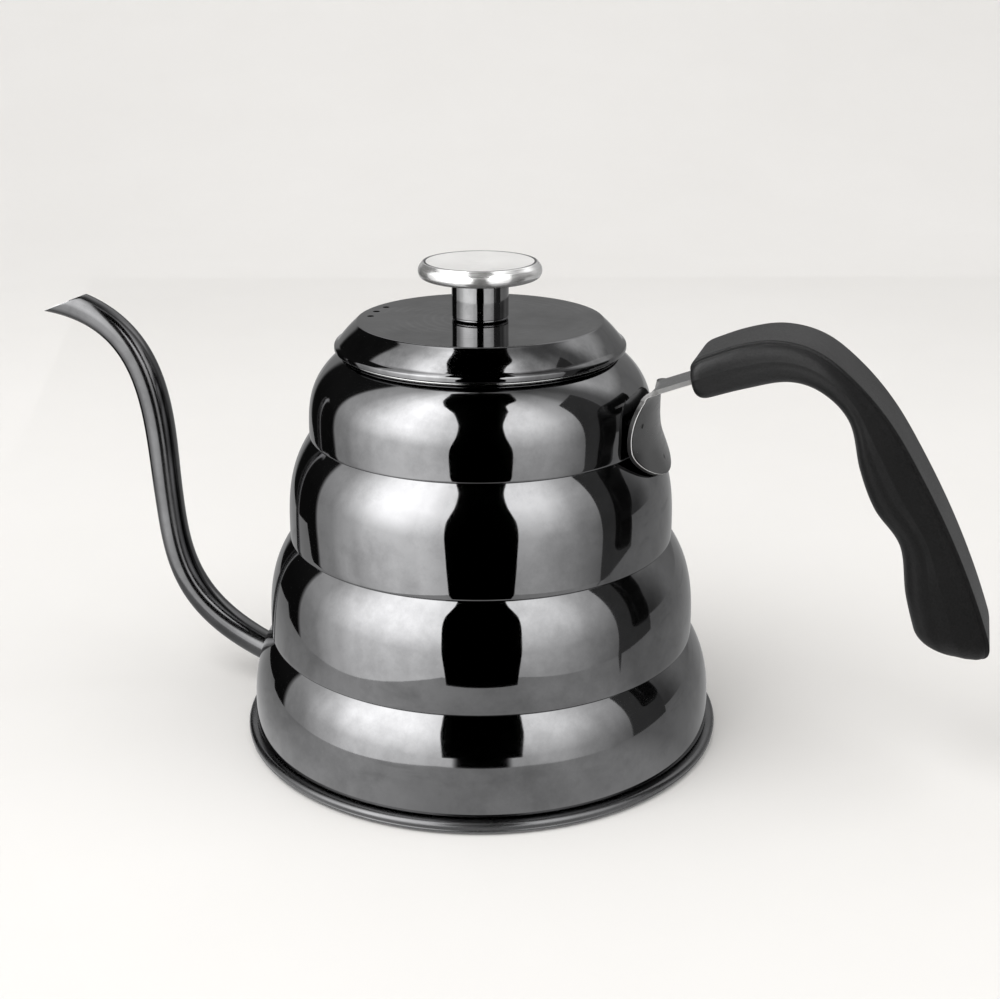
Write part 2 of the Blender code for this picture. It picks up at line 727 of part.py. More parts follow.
def make_lid_fixings():
    """Screw up through the lid into the knob, with a spring washer and a flat one."""
    look = (STEEL_BRIGHT, 0.35, 1.0)
    top = LID_TOP - LID_SHEET - GAP
    low = top - FLAT_WASHER_SHEET
    washer("lid_flat_washer", LID_HOLE_RADIUS, FLAT_WASHER_RADIUS, low, top, look)
    top = low - GAP
    low = top - SPRING_WASHER_SHEET
    washer("lid_spring_washer", LID_HOLE_RADIUS, SPRING_WASHER_RADIUS, low, top, look)
    head = low - GAP
    screw = [
        (0.0, SCREW_TOP), (SCREW_RADIUS, SCREW_TOP), (SCREW_RADIUS, head),
        (SCREW_HEAD_RADIUS, head), (SCREW_HEAD_RADIUS, head - SCREW_HEAD_HEIGHT + 1.0),
        (SCREW_HEAD_RADIUS - 1.0, head - SCREW_HEAD_HEIGHT + 0.3),
        (0.0, head - SCREW_HEAD_HEIGHT),
    ]
    turned("lid_screw", screw, look, SMALL_STEPS)


def main():
    clear_scene()
    envelope = body_envelope()
    make_body()
    make_base()
    make_spout(envelope)
    make_bracket()
    make_nuggets(envelope)
    make_grip()
    make_grip_fixings()
    make_lid()
    make_knob()
    make_lid_fixings()


main()
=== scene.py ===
"""Looks of the gooseneck kettle: fine visual pieces, materials, studio and camera.

Lengths in the tables are millimetres in the row frame: Z up, handle to +X, spout to -X.
"""

import math

import bmesh
import bpy
import numpy as np
from mathutils import Matrix, Vector

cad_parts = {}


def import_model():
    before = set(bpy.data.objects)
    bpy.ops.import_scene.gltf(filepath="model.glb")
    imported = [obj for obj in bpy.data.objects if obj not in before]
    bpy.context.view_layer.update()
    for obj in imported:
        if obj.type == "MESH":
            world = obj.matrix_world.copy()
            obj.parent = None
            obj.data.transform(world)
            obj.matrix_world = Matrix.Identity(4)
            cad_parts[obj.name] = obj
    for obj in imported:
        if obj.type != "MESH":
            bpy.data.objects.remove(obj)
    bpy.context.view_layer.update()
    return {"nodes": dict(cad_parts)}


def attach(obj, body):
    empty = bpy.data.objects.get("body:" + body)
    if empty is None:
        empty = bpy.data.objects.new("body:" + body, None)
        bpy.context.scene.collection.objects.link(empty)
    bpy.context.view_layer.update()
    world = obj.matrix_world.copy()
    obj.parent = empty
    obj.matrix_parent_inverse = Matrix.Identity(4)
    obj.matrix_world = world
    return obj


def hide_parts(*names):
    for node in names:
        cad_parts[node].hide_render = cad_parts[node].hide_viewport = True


MM = 0.001

# Camera, in a view frame whose Y axis points away from it; the row frame is turned from
# that frame by the angle between the handle and the picture plane
HANDLE_TURN = math.radians(17.5)
CAMERA_BACK, CAMERA_UP = 427.0, 222.3
CAMERA_PITCH, CAMERA_YAW = math.radians(19.5), math.radians(0.762)
CAMERA_LENS = 54.28

# Body: rings from the top, each falling from its top edge to its widest radius
RING_TOPS = ((40.7, 116.9), (49.9, 93.1), (56.6, 62.2), (63.4, 31.6))
RING_RADII = (50.3, 57.15, 64.05, 69.95)
RING_POWER = 3.3
RING_LIP = 0.9
BODY_FOOT = (69.2, 3.95)
MOUTH_ROLL = 1.3
COLLAR_BOTTOM = 107.5
BODY_WALL = 0.8

# Spout: two cubic curves in the X-Z plane, root to tip, as (x, z)
SPOUT_LOWER = ((-62.0, 8.85), (-102.1, 21.2), (-103.5, 39.5), (-105.1, 62.6))
SPOUT_UPPER = ((-105.1, 62.6), (-107.0, 89.0), (-103.0, 123.0), (-148.7, 124.5))
SPOUT_RADIUS, SPOUT_SLIMMING, SPOUT_BORE = 4.8, 0.16, 4.1
SPOUT_CUT_HIGH = (-128.6, 126.0)
SPOUT_CUT_LOW = (-142.5, 120.4)
# Depth of the root inside the body's wall, the bevel at the mouth, as a width and as a share
# of the length, and the depth of the lip band that carries a painted highlight
SPOUT_ROOT_DEPTH, LIP_BEVEL, LIP_BEVEL_SHARE, LIP_HIGHLIGHT_DEPTH = 0.5, 0.12, 0.0012, 0.08
# Weld bead: its reach along tube and wall, and how deep it is sunk
WELD_REACH, WELD_SINK = 2.0, 0.25

# Bracket: a leaf-shaped saddle plate whose top bends over into a flat strap
LEAF_CENTRE, LEAF_HALF_WIDTH = 96.0, 18.9
LEAF_RISE, LEAF_RISE_POWER = 14.6, 2.5
LEAF_DROP, LEAF_DROP_POWER = 10.5, 1.8
PLATE_TOP, PLATE_SHEET, PLATE_RADIUS = 109.6, 1.4, 51.5
PLATE_FLARE_FROM, PLATE_FLARE, PLATE_FLARE_BEND = 95.0, 0.46, 4.0
PLATE_LEAN_FROM, PLATE_LEAN = 100.0, 0.03
STRAP_START, STRAP_HALF_WIDTH = 52.6, 6.6
STRAP_ANGLE = math.radians(21.5)
# Bend: how far below the plate's top it begins, its length, and how far along the strap it ends
BEND_DROP, BEND_LENGTH, BEND_RUN = 0.9, 1.9, 1.2
SHOULDER_BLEND, EDGE_CHAMFER = 4.5, 0.2
# Heights between which the plate's painted shade turns into the strap's painted light,
# and the height that the whole ramp stands for
PLATE_SHADE_TOP, STRAP_LIGHT_BOTTOM, TONE_SPAN = 107.0, 110.0, 120.0
WELD_DENTS, WELD_DENT_RADIUS = ((-13.2, 102.2), (13.2, 102.2), (0.0, 89.8)), 1.6

# Grip: lines of its back and of its finger side, as (x, z)
GRIP_BACK = (
    (62.5, 121.1), (75.5, 126.5), (86.5, 128.5), (97.5, 126.0), (107.9, 118.4),
    (117.5, 107.9), (126.5, 94.1), (135.5, 78.0), (143.5, 60.8), (151.0, 41.2),
)
GRIP_FINGERS = (
    (64.8, 108.9), (78.0, 113.4), (89.6, 116.2), (98.7, 113.8), (106.3, 106.3),
    (110.0, 93.0), (114.7, 82.1), (122.3, 72.1), (125.2, 57.3), (130.2, 41.2),
)
GRIP_HALF_WIDTH, GRIP_TOP_HALF_WIDTH = 12.9, 11.6
# Its section: the rounded top edge, then the arc down to the flank, with its first angle in
# degrees and that angle's sine
GRIP_EDGE_INSET, GRIP_EDGE_ROUND = 0.7, 0.55
GRIP_ARC_WIDTH, GRIP_ARC_DROP, GRIP_ARC_RISE = 2.6, 4.4, 3.2
GRIP_ARC_ANGLE, GRIP_ARC_SINE = 62, 0.883
GRIP_LOW_ROUND, GRIP_LOW_WIDTH = 6.5, 7.0
# The flank's fold, as a share of the thickness, and where along the grip it grows in
GRIP_FOLD, RIDGE_START, RIDGE_SPAN = 0.44, 0.45, 0.2
# Lengths of the rounded ends, their power, and the share of height and width left at each
GRIP_NEAR_ROUND, GRIP_FAR_ROUND, GRIP_END_POWER = 4.4, 9.0, 2.4
GRIP_NEAR_HEIGHT, GRIP_NEAR_WIDTH, GRIP_FAR_WIDTH, GRIP_LEAST = 0.45, 0.8, 0.35, 0.02
# How far the tip lies towards the back, from the middle (0) to the back's own line (1)
GRIP_TIP_BACK = 0.3

# Lid and knob
LID_TOP, LID_PLATE_RADIUS, LID_RIM, LID_SHEET = 126.5, 35.8, (42.2, 118.4), 0.8
LID_HOLE_RADIUS, LID_BOW = 2.4, 0.22
LID_EDGE_ROUND, LID_HEM_ROUND, LID_HEM_CURL = 0.7, 1.15, 0.35
SKIRT_RADIUS, SKIRT_FLANGE, SKIRT_SEAT, SKIRT_BOTTOM = 38.0, 40.8, 117.5, 108.5
SKIRT_SHEET = 0.6
VENT_RADIUS, VENT_CIRCLE, VENT_SPACING = 1.0, 32.0, math.radians(11.4)
NECK_RADIUS, NECK_FOOT, NECK_TOP, NECK_BORE = 8.2, 127.45, 138.0, 3.0
NECK_TOP_EDGE, NECK_FOOT_EDGE = 0.4, 0.12
WASHER_FOOT, WASHER_SHEET = 126.8, 0.6
KNOB_RADIUS, KNOB_BOTTOM, KNOB_WAIST, KNOB_TOP = 17.75, 138.3, 140.6, 143.2
KNOB_BORE, KNOB_BORE_TOP, KNOB_ROUND, KNOB_DOME = 4.3, 141.6, 2.6, 0.4
# Outer edges of the knob's turned face and of the groove round it, as shares of the top
# The face carries painted light, the groove ring painted shade
KNOB_FACE, KNOB_GROOVE = 0.94, 0.975

# Base
RIM_RADIUS, RIM_TOP, RIM_BOTTOM, RIM_BEAD = 72.5, 3.65, 0.5, 1.45
PAN_FLOOR, PAN_SHEET, PAN_WALL = 4.9, 1.0, 67.5
CAP_RADIUS, CAP_SHEET, CAP_HEIGHT = 63.2, 1.0, 3.8
CAP_RINGS, CAP_RING_RISE = (52.0, 38.0, 24.0), 0.28

# Segments round the large turned pieces
ROUND = 256

# Studio, in view-frame millimetres. Degrees round are from the camera, left positive.
FLOOR_TONES = ((0.775, 0.77, 0.76), (0.8, 0.796, 0.788))
FLOOR_REACH = 4000.0
# The pale sweep behind the kettle: where it leaves the floor, its bend and its height
SWEEP_START, SWEEP_BEND, SWEEP_TOP = 700.0, 900.0, 2600.0
PALE_TINT, PALE_LEVEL = (0.93, 0.915, 0.9), 0.8
# The part of the floor that mirrors see, and its brightness by degrees round
TABLE_OUTLINE = (
    (-60, -195), (60, -195), (175, -88), (260, -10), (900, -10), (900, 1500), (-600, 1500),
    (-300, 742), (-230, 300), (-220, 190), (-270, 115), (-194, 55),
)
TABLE_ROUND = (
    (-180, 0.45), (-130, 0.4), (-97, 0.45), (-80, 0.45), (-68, 0.42), (-50, 0.78), (-30, 0.84),
    (0, 0.74), (12, 0.78), (28, 1.05), (45, 1.15), (65, 1.0), (80, 0.78), (97, 0.6),
    (113, 0.48), (150, 0.4), (180, 0.45),
)
TABLE_PEAK = 1.2
TABLE_VEINS = ((0.3, 0.8), (0.44, 0.98), (0.7, 1.0))
# Upright dim flag on the right, as points (x, y, bottom, top) along it, and its brightness
FLAG_LINE = ((84, -61, 17.0, 180.0), (175, -88, 0.1, 290.0), (260, -10, 0.1, 400.0))
FLAG_LEVEL = 0.12
# Dark card in front, which only mirrors see: half widths to the left and right by height
CARD_FRONT = -110.0
CARD_SHAPE = (
    (22, 25, 25), (35, 26.5, 26.5), (50, 28.5, 28.5), (65, 29.5, 29.5), (85, 31, 31),
    (100, 30.5, 30.5), (112, 27.5, 27.5), (125, 24.5, 24.5), (145, 23.5, 23.5),
    (165, 26, 26), (205, 36, 36), (220, 42, 40), (265, 62, 44), (300, 74, 56),
    (400, 100, 96), (600, 130, 130), (900, 180, 180),
)
# Area lights, which no mirror sees: place, size in metres and watts
LIGHT_AIM = (0, 0, 60)
KEY_LIGHT = ((-700, -500, 1300), 1.0, 12)
FILL_LIGHT = ((900, -200, 1200), 1.2, 6)
LIGHT_TINT = (1.0, 0.985, 0.965)

# Room as mirrors see it: its brightness by degrees round
ROOM_ROUND = (
    (-180, 0.42), (-140, 0.45), (-120, 0.7), (-112, 0.5), (-104, 0.35), (-98, 0.3),
    (-90, 0.5), (-83, 0.6), (-75, 1.3), (-60, 1.7), (-50, 2.6), (-40, 3.4), (-30, 3.75),
    (-14, 3.6), (-12, 0.0), (12, 0.0), (14, 2.7), (24, 3.1), (35, 4.6), (50, 5.5),
    (60, 5.6), (70, 4.7), (80, 2.9), (88, 1.6), (96, 1.0), (110, 0.8), (112, 0.03),
    (150, 0.02), (154, 0.5), (180, 0.42),
)
ROOM_PEAK = 5.6
# Shares of it by degrees of height, for the left, the right and the back
RISE_LEFT = (
    (-90, 0.4), (-18, 0.42), (0, 0.5), (13, 0.82), (25, 1.0), (60, 0.95), (77, 0.6), (90, 0.2),
)
RISE_RIGHT = (
    (-90, 0.3), (-20, 0.32), (0, 0.42), (13, 0.64), (30, 0.95), (50, 1.0), (65, 0.8), (90, 0.15),
)
RISE_BACK = ((-90, 0.6), (0, 0.65), (21, 0.85), (30, 2.1), (50, 2.2), (75, 0.5), (90, 0.2))
RISE_PEAK = 2.5
# Degrees round that take each of the three, as (left, right, back)
RISE_ZONES = (
    (-180, (0, 0, 1)), (-116, (0, 0, 1)), (-104, (0, 1, 0)), (-1, (0, 1, 0)),
    (1, (1, 0, 0)), (150, (1, 0, 0)), (152, (0, 0, 1)), (180, (0, 0, 1)),
)
# Added to that share at every height, by degrees round: flatter light beside the dark card
RISE_LIFT = (
    (-180, 0.0), (-75, 0.0), (-60, 0.12), (-48, 0.06), (-30, 0.03), (-14, 0.03), (-12, 0.0),
    (12, 0.0), (14, 0.25), (24, 0.2), (38, 0.04), (60, 0.0), (78, 0.05),
    (90, 0.45), (110, 0.5), (112, 0.0), (180, 0.0),
)


# Meshes


def new_object(name, data):
    obj = bpy.data.objects.new(name, data)
    bpy.context.scene.collection.objects.link(obj)
    return obj


def mesh_object(name, points, faces, sharp=40.0):
    """Smooth-shaded object from points in millimetres."""
    mesh = bpy.data.meshes.new(name)
    mesh.from_pydata([tuple(p) for p in np.asarray(points) * MM], [], faces)
    work = bmesh.new()
    work.from_mesh(mesh)
    bmesh.ops.remove_doubles(work, verts=work.verts, dist=1e-7)
    bmesh.ops.recalc_face_normals(work, faces=work.faces)
    work.to_mesh(mesh)
    work.free()
    mesh.shade_smooth()
    mesh.set_sharp_from_angle(angle=math.radians(sharp))
    return new_object(name, mesh)


def grid_faces(rows, columns, wrap_rows=False, wrap_columns=False):
    """Four-sided faces between points listed row by row."""
    faces = []
    for i in range(rows if wrap_rows else rows - 1):
        for j in range(columns if wrap_columns else columns - 1):
            k, m = (i + 1) % rows, (j + 1) % columns
            faces.append((i * columns + j, i * columns + m, k * columns + m, k * columns + j))
    return faces


def capped_faces(rows, columns):
    """Faces of a row of rings, closed at both ends."""
    last = (rows - 1) * columns
    ends = [tuple(range(columns)), tuple(range(last, last + columns))]
    return grid_faces(rows, columns, False, True) + ends


def revolve(name, profile, closed=True, segments=ROUND, sharp=40.0):
    """Profile of (radius, height) turned round Z; an open one starts and ends on the axis."""
    profile = np.asarray(profile, float)
    angles = np.linspace(0, 2 * math.pi, segments, endpoint=False)
    ring = np.stack([np.cos(angles), np.sin(angles)], -1)
    points = np.zeros((len(profile), segments, 3))
    points[..., :2] = profile[:, None, :1] * ring[None]
    points[..., 2] = profile[:, None, 1]
    faces = grid_faces(len(profile), segments, closed, True)
    return mesh_object(name, points.reshape(-1, 3), faces, sharp)


def arc(centre, radius, start, end, count):
    """Points on a circle between two angles in degrees."""
    angles = np.radians(np.linspace(start, end, count))
    return [(centre[0] + radius * math.cos(a), centre[1] + radius * math.sin(a)) for a in angles]


def offset_line(points, distance):
    """The line moved to its right-hand side."""
    points = np.asarray(points, float)
    steps = np.diff(points, axis=0)
    steps /= np.linalg.norm(steps, axis=1)[:, None]
    right = np.stack([steps[:, 1], -steps[:, 0]], -1)
    before = np.vstack([right[:1], right])
    after = np.vstack([right, right[-1:]])
    mitre = before + after
    mitre /= np.linalg.norm(mitre, axis=1)[:, None]
    stretch = np.clip((mitre * before).sum(1), 0.5, 1.0)
    return points + mitre * (distance / stretch)[:, None]


def cubic(controls, t):
    """Points at shares t of the cubic curve with these four control points."""
    a, b, c, d = (np.asarray(p, float) for p in controls)
    t = np.asarray(t, float)[..., None]
    s = 1 - t
    return a * s**3 + 3 * b * s * s * t + 3 * c * s * t * t + d * t**3


def through(controls, t):
    """Points at shares t of a smooth curve through the controls."""
    controls = np.asarray(controls, float)
    ends = (2 * controls[:1] - controls[1:2], 2 * controls[-1:] - controls[-2:-1])
    padded = np.vstack([ends[0], controls, ends[1]])
    place = np.clip(np.asarray(t, float), 0, 1) * (len(controls) - 1)
    i = np.minimum(place.astype(int), len(controls) - 2)
    f = (place - i)[:, None]
    p = [padded[i + k] for k in range(4)]
    linear = (p[2] - p[0]) * f
    square = (2 * p[0] - 5 * p[1] + 4 * p[2] - p[3]) * f**2
    cube = (3 * p[1] - p[0] - 3 * p[2] + p[3]) * f**3
    return (2 * p[1] + linear + square + cube) / 2


# Body and base


def body_side():
    """Outer line of the body from the mouth edge to the foot."""
    points = []
    stops = RING_TOPS[1:] + (BODY_FOOT,)
    for (top_r, top_z), (low_r, low_z), widest in zip(RING_TOPS, stops, RING_RADII):
        drop = top_z - low_z
        for t in np.linspace(1.0, RING_LIP / drop, 56) ** 0.8:
            points.append((widest - (widest - top_r) * t**RING_POWER, low_z + drop * t))
        for a in np.radians(np.linspace(12, 78, 8)):
            r = widest - (widest - low_r) * (1 - math.cos(a))
            points.append((r, low_z + RING_LIP * (1 - math.sin(a))))
    return points + [BODY_FOOT]


def mouth_roll():
    """From the foot of the collar's inner face up and over to the mouth edge."""
    edge = RING_TOPS[0]
    slope = RING_POWER * (RING_RADII[0] - edge[0]) / (edge[1] - RING_TOPS[1][1])
    last = math.degrees(math.atan(slope))
    a = math.radians(last)
    centre = (edge[0] - MOUTH_ROLL * math.cos(a), edge[1] - MOUTH_ROLL * math.sin(a))
    roll = arc(centre, MOUTH_ROLL, 180, last, 14)[:-1]
    return [(centre[0] - MOUTH_ROLL, COLLAR_BOTTOM)] + roll


BODY_SIDE = body_side()
SIDE_RADII, SIDE_HEIGHTS = np.array(BODY_SIDE)[::-1].T


def body_radius(height):
    """Outer radius of the body at a height."""
    return np.interp(height, SIDE_HEIGHTS, SIDE_RADII)


def make_body():
    """Sheet of the four rings, rolled in at the mouth and open to the pan at the foot."""
    line = mouth_roll() + BODY_SIDE
    inner = offset_line(line, BODY_WALL)[::-1]
    return revolve("body_skin", np.vstack([line, inner]), sharp=50.0)


def make_pan():
    """Pan with a rolled rim: the bead stands out, with a seam line under it."""
    top = PAN_FLOOR + PAN_SHEET
    bead = arc((RIM_RADIUS - RIM_BEAD, RIM_TOP - RIM_BEAD), RIM_BEAD, 90, -20, 12)
    profile = [
        (0.0, top), (PAN_WALL - 2.0, top), (PAN_WALL - 0.9, top + 0.4),
        (PAN_WALL - 0.6, top + 1.0), (PAN_WALL, top + 1.0), (PAN_WALL, RIM_TOP - 0.1),
        (PAN_WALL + 0.6, RIM_TOP), *bead,
        (RIM_RADIUS - 0.25, 1.55), (RIM_RADIUS - 0.15, 1.3), (RIM_RADIUS - 0.25, 0.9),
        (RIM_RADIUS - 0.8, RIM_BOTTOM), (RIM_RADIUS - 2.9, RIM_BOTTOM),
        (RIM_RADIUS - 3.9, RIM_BOTTOM + 0.9), (PAN_WALL - 1.9, RIM_BOTTOM + 1.9),
        (PAN_WALL - 2.5, PAN_FLOOR), (0.0, PAN_FLOOR),
    ]
    return revolve("base_rim", profile, closed=False, sharp=32.0)


def make_base_cap():
    """Underside cup with pressed rings."""
    under = [(CAP_RADIUS, 0.6), (CAP_RADIUS - 0.2, 0.2), (CAP_RADIUS - 0.7, 0.0)]
    for r in CAP_RINGS:
        under += [(r + 1.6, 0.0), (r + 0.8, CAP_RING_RISE)]
        under += [(r - 0.8, CAP_RING_RISE), (r - 1.6, 0.0)]
    inside = CAP_RADIUS - CAP_SHEET
    profile = [
        (0.0, CAP_SHEET), (inside, CAP_SHEET), (inside, CAP_HEIGHT), (CAP_RADIUS, CAP_HEIGHT),
        *under, (0.0, 0.0),
    ]
    return revolve("base_cup", profile, closed=False, sharp=25.0)


# Spout


def spout_path(t):
    """Centre line at shares t from root to tip, in the X-Z plane."""
    t = np.asarray(t, float)
    low, high = cubic(SPOUT_LOWER, 2 * t), cubic(SPOUT_UPPER, 2 * t - 1)
    return np.where((t < 0.5)[..., None], low, high)


def spout_frame(t):
    """Centre line, its direction and the direction square to it, in the X-Z plane."""
    step = 1e-4
    along = spout_path(t + step) - spout_path(t - step)
    along /= np.linalg.norm(along, axis=-1)[..., None]
    return spout_path(t), along, np.stack([-along[..., 1], along[..., 0]], -1)


def spout_radius(t):
    """A little fuller at both bends than between them and at the tip."""
    return SPOUT_RADIUS - SPOUT_SLIMMING * (1 - np.cos(4 * math.pi * (t - 0.2)))


def spout_point(t, angle, inset):
    """Point of the tube's skin, or of a skin this far inside it."""
    centre, _, side = spout_frame(t)
    radius = spout_radius(t) - inset
    x, z = (centre + side * (radius * np.cos(angle))[..., None]).T
    return np.stack([x, radius * np.sin(angle), z], -1)


def crossing(test, low, high, columns):
    """Where test, an array function, turns from negative to positive, for each column."""
    low, high = np.full(columns, low), np.full(columns, high)
    for _ in range(40):
        middle = (low + high) / 2
        above = test(middle) > 0
        low, high = np.where(above, low, middle), np.where(above, middle, high)
    return (low + high) / 2


def make_spout():
    """Tube with a bore, from the body wall to the slanted mouth, as one closed skin."""
    columns, rows = 64, 220
    angle = np.linspace(0, 2 * math.pi, columns, endpoint=False)
    high, low = np.array(SPOUT_CUT_HIGH), np.array(SPOUT_CUT_LOW)
    slope = (high - low) / np.linalg.norm(high - low)
    up = np.array([-slope[1], slope[0]])

    def past_cut(t, inset):
        p = spout_point(t, angle, inset)
        return (p[:, 0] - low[0]) * up[0] + (p[:, 2] - low[1]) * up[1]

    def out_of_wall(t, inset):
        p = spout_point(t, angle, inset)
        return np.hypot(p[:, 0], p[:, 1]) - body_radius(p[:, 2]) + SPOUT_ROOT_DEPTH

    def skin(inset, short):
        first = crossing(lambda t: out_of_wall(t, inset), 0.0, 0.2, columns)
        last = crossing(lambda t: past_cut(t, inset), 0.75, 1.0, columns) - short
        shares = np.linspace(0, 1, rows)
        return [spout_point(first + (last - first) * s, angle, inset) for s in shares]

    wall = SPOUT_RADIUS - SPOUT_BORE
    outer, inner = skin(0.0, LIP_BEVEL_SHARE), skin(wall, LIP_BEVEL_SHARE)
    lip = skin(LIP_BEVEL, 0.0)[-1:] + skin(wall - LIP_BEVEL, 0.0)[-1:]
    rings = outer + lip + inner[::-1]
    faces = grid_faces(len(rings), columns, True, True)
    spout = mesh_object("spout", np.vstack(rings), faces, 50.0)
    # Faces at the mouth's cut edge get the bright painted highlight
    for polygon in spout.data.polygons:
        spot = polygon.center / MM
        if (spot.x - low[0]) * up[0] + (spot.z - low[1]) * up[1] > -LIP_HIGHLIGHT_DEPTH:
            polygon.material_index = 1
    return spout


def make_spout_weld():
    """Concave bead of weld metal round the spout's root."""
    columns = 72
    angle = np.linspace(0, 2 * math.pi, columns, endpoint=False)
    centre, along, side = spout_frame(np.array(0.03))
    along3 = np.array([along[0], 0.0, along[1]])
    side3 = np.array([side[0], 0.0, side[1]])
    across = np.cos(angle)[:, None] * side3 + np.sin(angle)[:, None] * np.array([0.0, 1.0, 0.0])
    origin = np.array([centre[0], 0.0, centre[1]])

    def wall(radius):
        def test(d):
            p = origin + across * radius + along3 * d[:, None]
            return np.hypot(p[:, 0], p[:, 1]) - body_radius(p[:, 2])

        return crossing(test, 0.0, 30.0, columns)

    rings = []
    ripple = 0.12 * np.sin(angle * 31) + 0.08 * np.sin(angle * 17 + 1.0)
    for a in np.linspace(0, math.pi / 2, 9):
        radius = SPOUT_RADIUS + 0.02 + (WELD_REACH + 0.3 * ripple) * (1 - math.sin(a))
        rise = WELD_REACH * (1 - math.cos(a)) - WELD_SINK
        d = wall(SPOUT_RADIUS + WELD_REACH * (1 - math.sin(a))) + rise + ripple * math.sin(2 * a)
        rings.append(origin + across * radius[:, None] + along3 * d[:, None])
    inner = origin + across * (SPOUT_RADIUS - 0.3)
    rings.append(inner + along3 * (wall(SPOUT_RADIUS - 0.3) - WELD_SINK)[:, None])
    faces = grid_faces(len(rings), columns, True, True)
    return mesh_object("spout_bead", np.vstack(rings), faces, 60.0)


# Handle


def plate_radius(height):
    """Middle of the saddle plate's sheet: straight above, flared over the ring below."""
    below = PLATE_FLARE_FROM - height
    flare = PLATE_FLARE * (below + math.hypot(below, PLATE_FLARE_BEND)) / 2
    return PLATE_RADIUS + flare + PLATE_LEAN * max(0.0, height - PLATE_LEAN_FROM)


def leaf_width(height):
    """Half width of the leaf alone."""
    above = height > LEAF_CENTRE
    span, power = (LEAF_RISE, LEAF_RISE_POWER) if above else (LEAF_DROP, LEAF_DROP_POWER)
    t = min(1.0, abs(height - LEAF_CENTRE) / span)
    return LEAF_HALF_WIDTH * (1 - t**power) ** (1 / power)


def blended_width(height):
    """Half width where the leaf runs into the strap."""
    return (leaf_width(height) ** 3 + STRAP_HALF_WIDTH**3) ** (1 / 3)


def bracket_rows():
    """Rows from the plate's lower tip to the strap's end.

    Each is the height on the plate, the half width, and the x, z and bend of its middle;
    the bend runs from 0 in the plate to 1 in the flat strap.
    """
    rows = []
    bottom, top = LEAF_CENTRE - LEAF_DROP + 0.02, PLATE_TOP - BEND_DROP
    for share in np.linspace(0, 1, 64):
        height = bottom + (top - bottom) * share**1.4
        rows.append((height, leaf_width(height), plate_radius(height), height, 0.0))
    foot = np.array(rows[-1][2:4])
    knee = np.array([STRAP_START - 0.25, PLATE_TOP + 0.3])
    along = np.array([math.cos(STRAP_ANGLE), math.sin(STRAP_ANGLE)])
    start = np.array([STRAP_START, PLATE_TOP + 0.4])
    rise = start + along * BEND_RUN
    for t in np.linspace(0.12, 1, 10):
        spot = foot * (1 - t) ** 2 + 2 * knee * t * (1 - t) + rise * t * t
        height = top + BEND_LENGTH * t
        rows.append((height, blended_width(height), *spot, t))
    for distance in (1.7, 2.2, 2.8, 3.6, 5.0, 8.0, 12.0, 20.0, 33.0):
        height = top + BEND_LENGTH - BEND_RUN + distance
        rows.append((height, blended_width(height), *(start + along * distance), 1.0))
    return rows


def curled(radius, across, height):
    """Row of points bent round the Z axis at this radius."""
    turned = across / radius
    level = np.full(len(across), height)
    return np.stack([radius * np.cos(turned), radius * np.sin(turned), level], -1)


def bracket_middle(rows, columns):
    """Points on the middle of the sheet, and the directions square to it."""
    points = []
    for height, width, x, z, bend in rows:
        across = width * np.linspace(-1, 1, columns)
        share = np.clip((np.abs(across) - STRAP_HALF_WIDTH) / SHOULDER_BLEND, 0, 1)
        out = 1 - share * share * (3 - 2 * share) if bend else np.zeros(columns)
        plate = curled(plate_radius(height), across, height)
        flat = np.stack([np.full(columns, x), across, np.full(columns, z)], -1)
        strap = curled(x, across, z) * (1 - bend) + flat * bend
        points.append(plate * (1 - out)[:, None] + strap * out[:, None])
    points = np.array(points)
    normals = np.cross(np.gradient(points, axis=1), np.gradient(points, axis=0))
    normals /= np.linalg.norm(normals, axis=-1)[..., None]
    return points, normals


def make_bracket():
    """The bent sheet with its two long edges broken by a narrow chamfer that carries a painted
    highlight.
    """
    columns = 81
    rows = bracket_rows()
    points, normals = bracket_middle(rows, columns)
    # Directions across the sheet, from its near edge to its far one
    sides = points[:, -1] - points[:, 0]
    sides /= np.linalg.norm(sides, axis=-1)[:, None]
    half = PLATE_SHEET / 2
    rings = []
    for i, (height, width, *_) in enumerate(rows):
        low, high = points[i] - normals[i] * half, points[i] + normals[i] * half
        chamfer = min(EDGE_CHAMFER, width / 3)
        inset = np.zeros((columns, 3))
        inset[0], inset[-1] = sides[i] * chamfer, -sides[i] * chamfer
        drop = normals[i] * chamfer
        far, near = high[-1] - drop[-1], high[0] - drop[0]
        rings.append(np.vstack([high + inset, [far], low[::-1], [near]]))
    stride = len(rings[0])
    faces = capped_faces(len(rings), stride)
    bracket = mesh_object("bracket_plate", np.vstack(rings), faces, 35.0)
    # Rim faces (slot 1): painted shade on the plate, painted light on the strap; chamfers (slot
    # 2): painted highlight
    corners = {columns - 1: 2, columns: 1, 2 * columns: 1, 2 * columns + 1: 2}
    for polygon in bracket.data.polygons:
        places = sorted({v % stride for v in polygon.vertices})
        if len(places) == 2:
            first = stride - 1 if places == [0, stride - 1] else places[0]
            polygon.material_index = corners.get(first, 0)
    return bracket


def rounding(distance, radius, power=3.0):
    """Share of full size at a distance from a rounded end."""
    f = 1 - np.clip(distance, 0, radius) / radius
    return (1 - f**power) ** (1 / power)


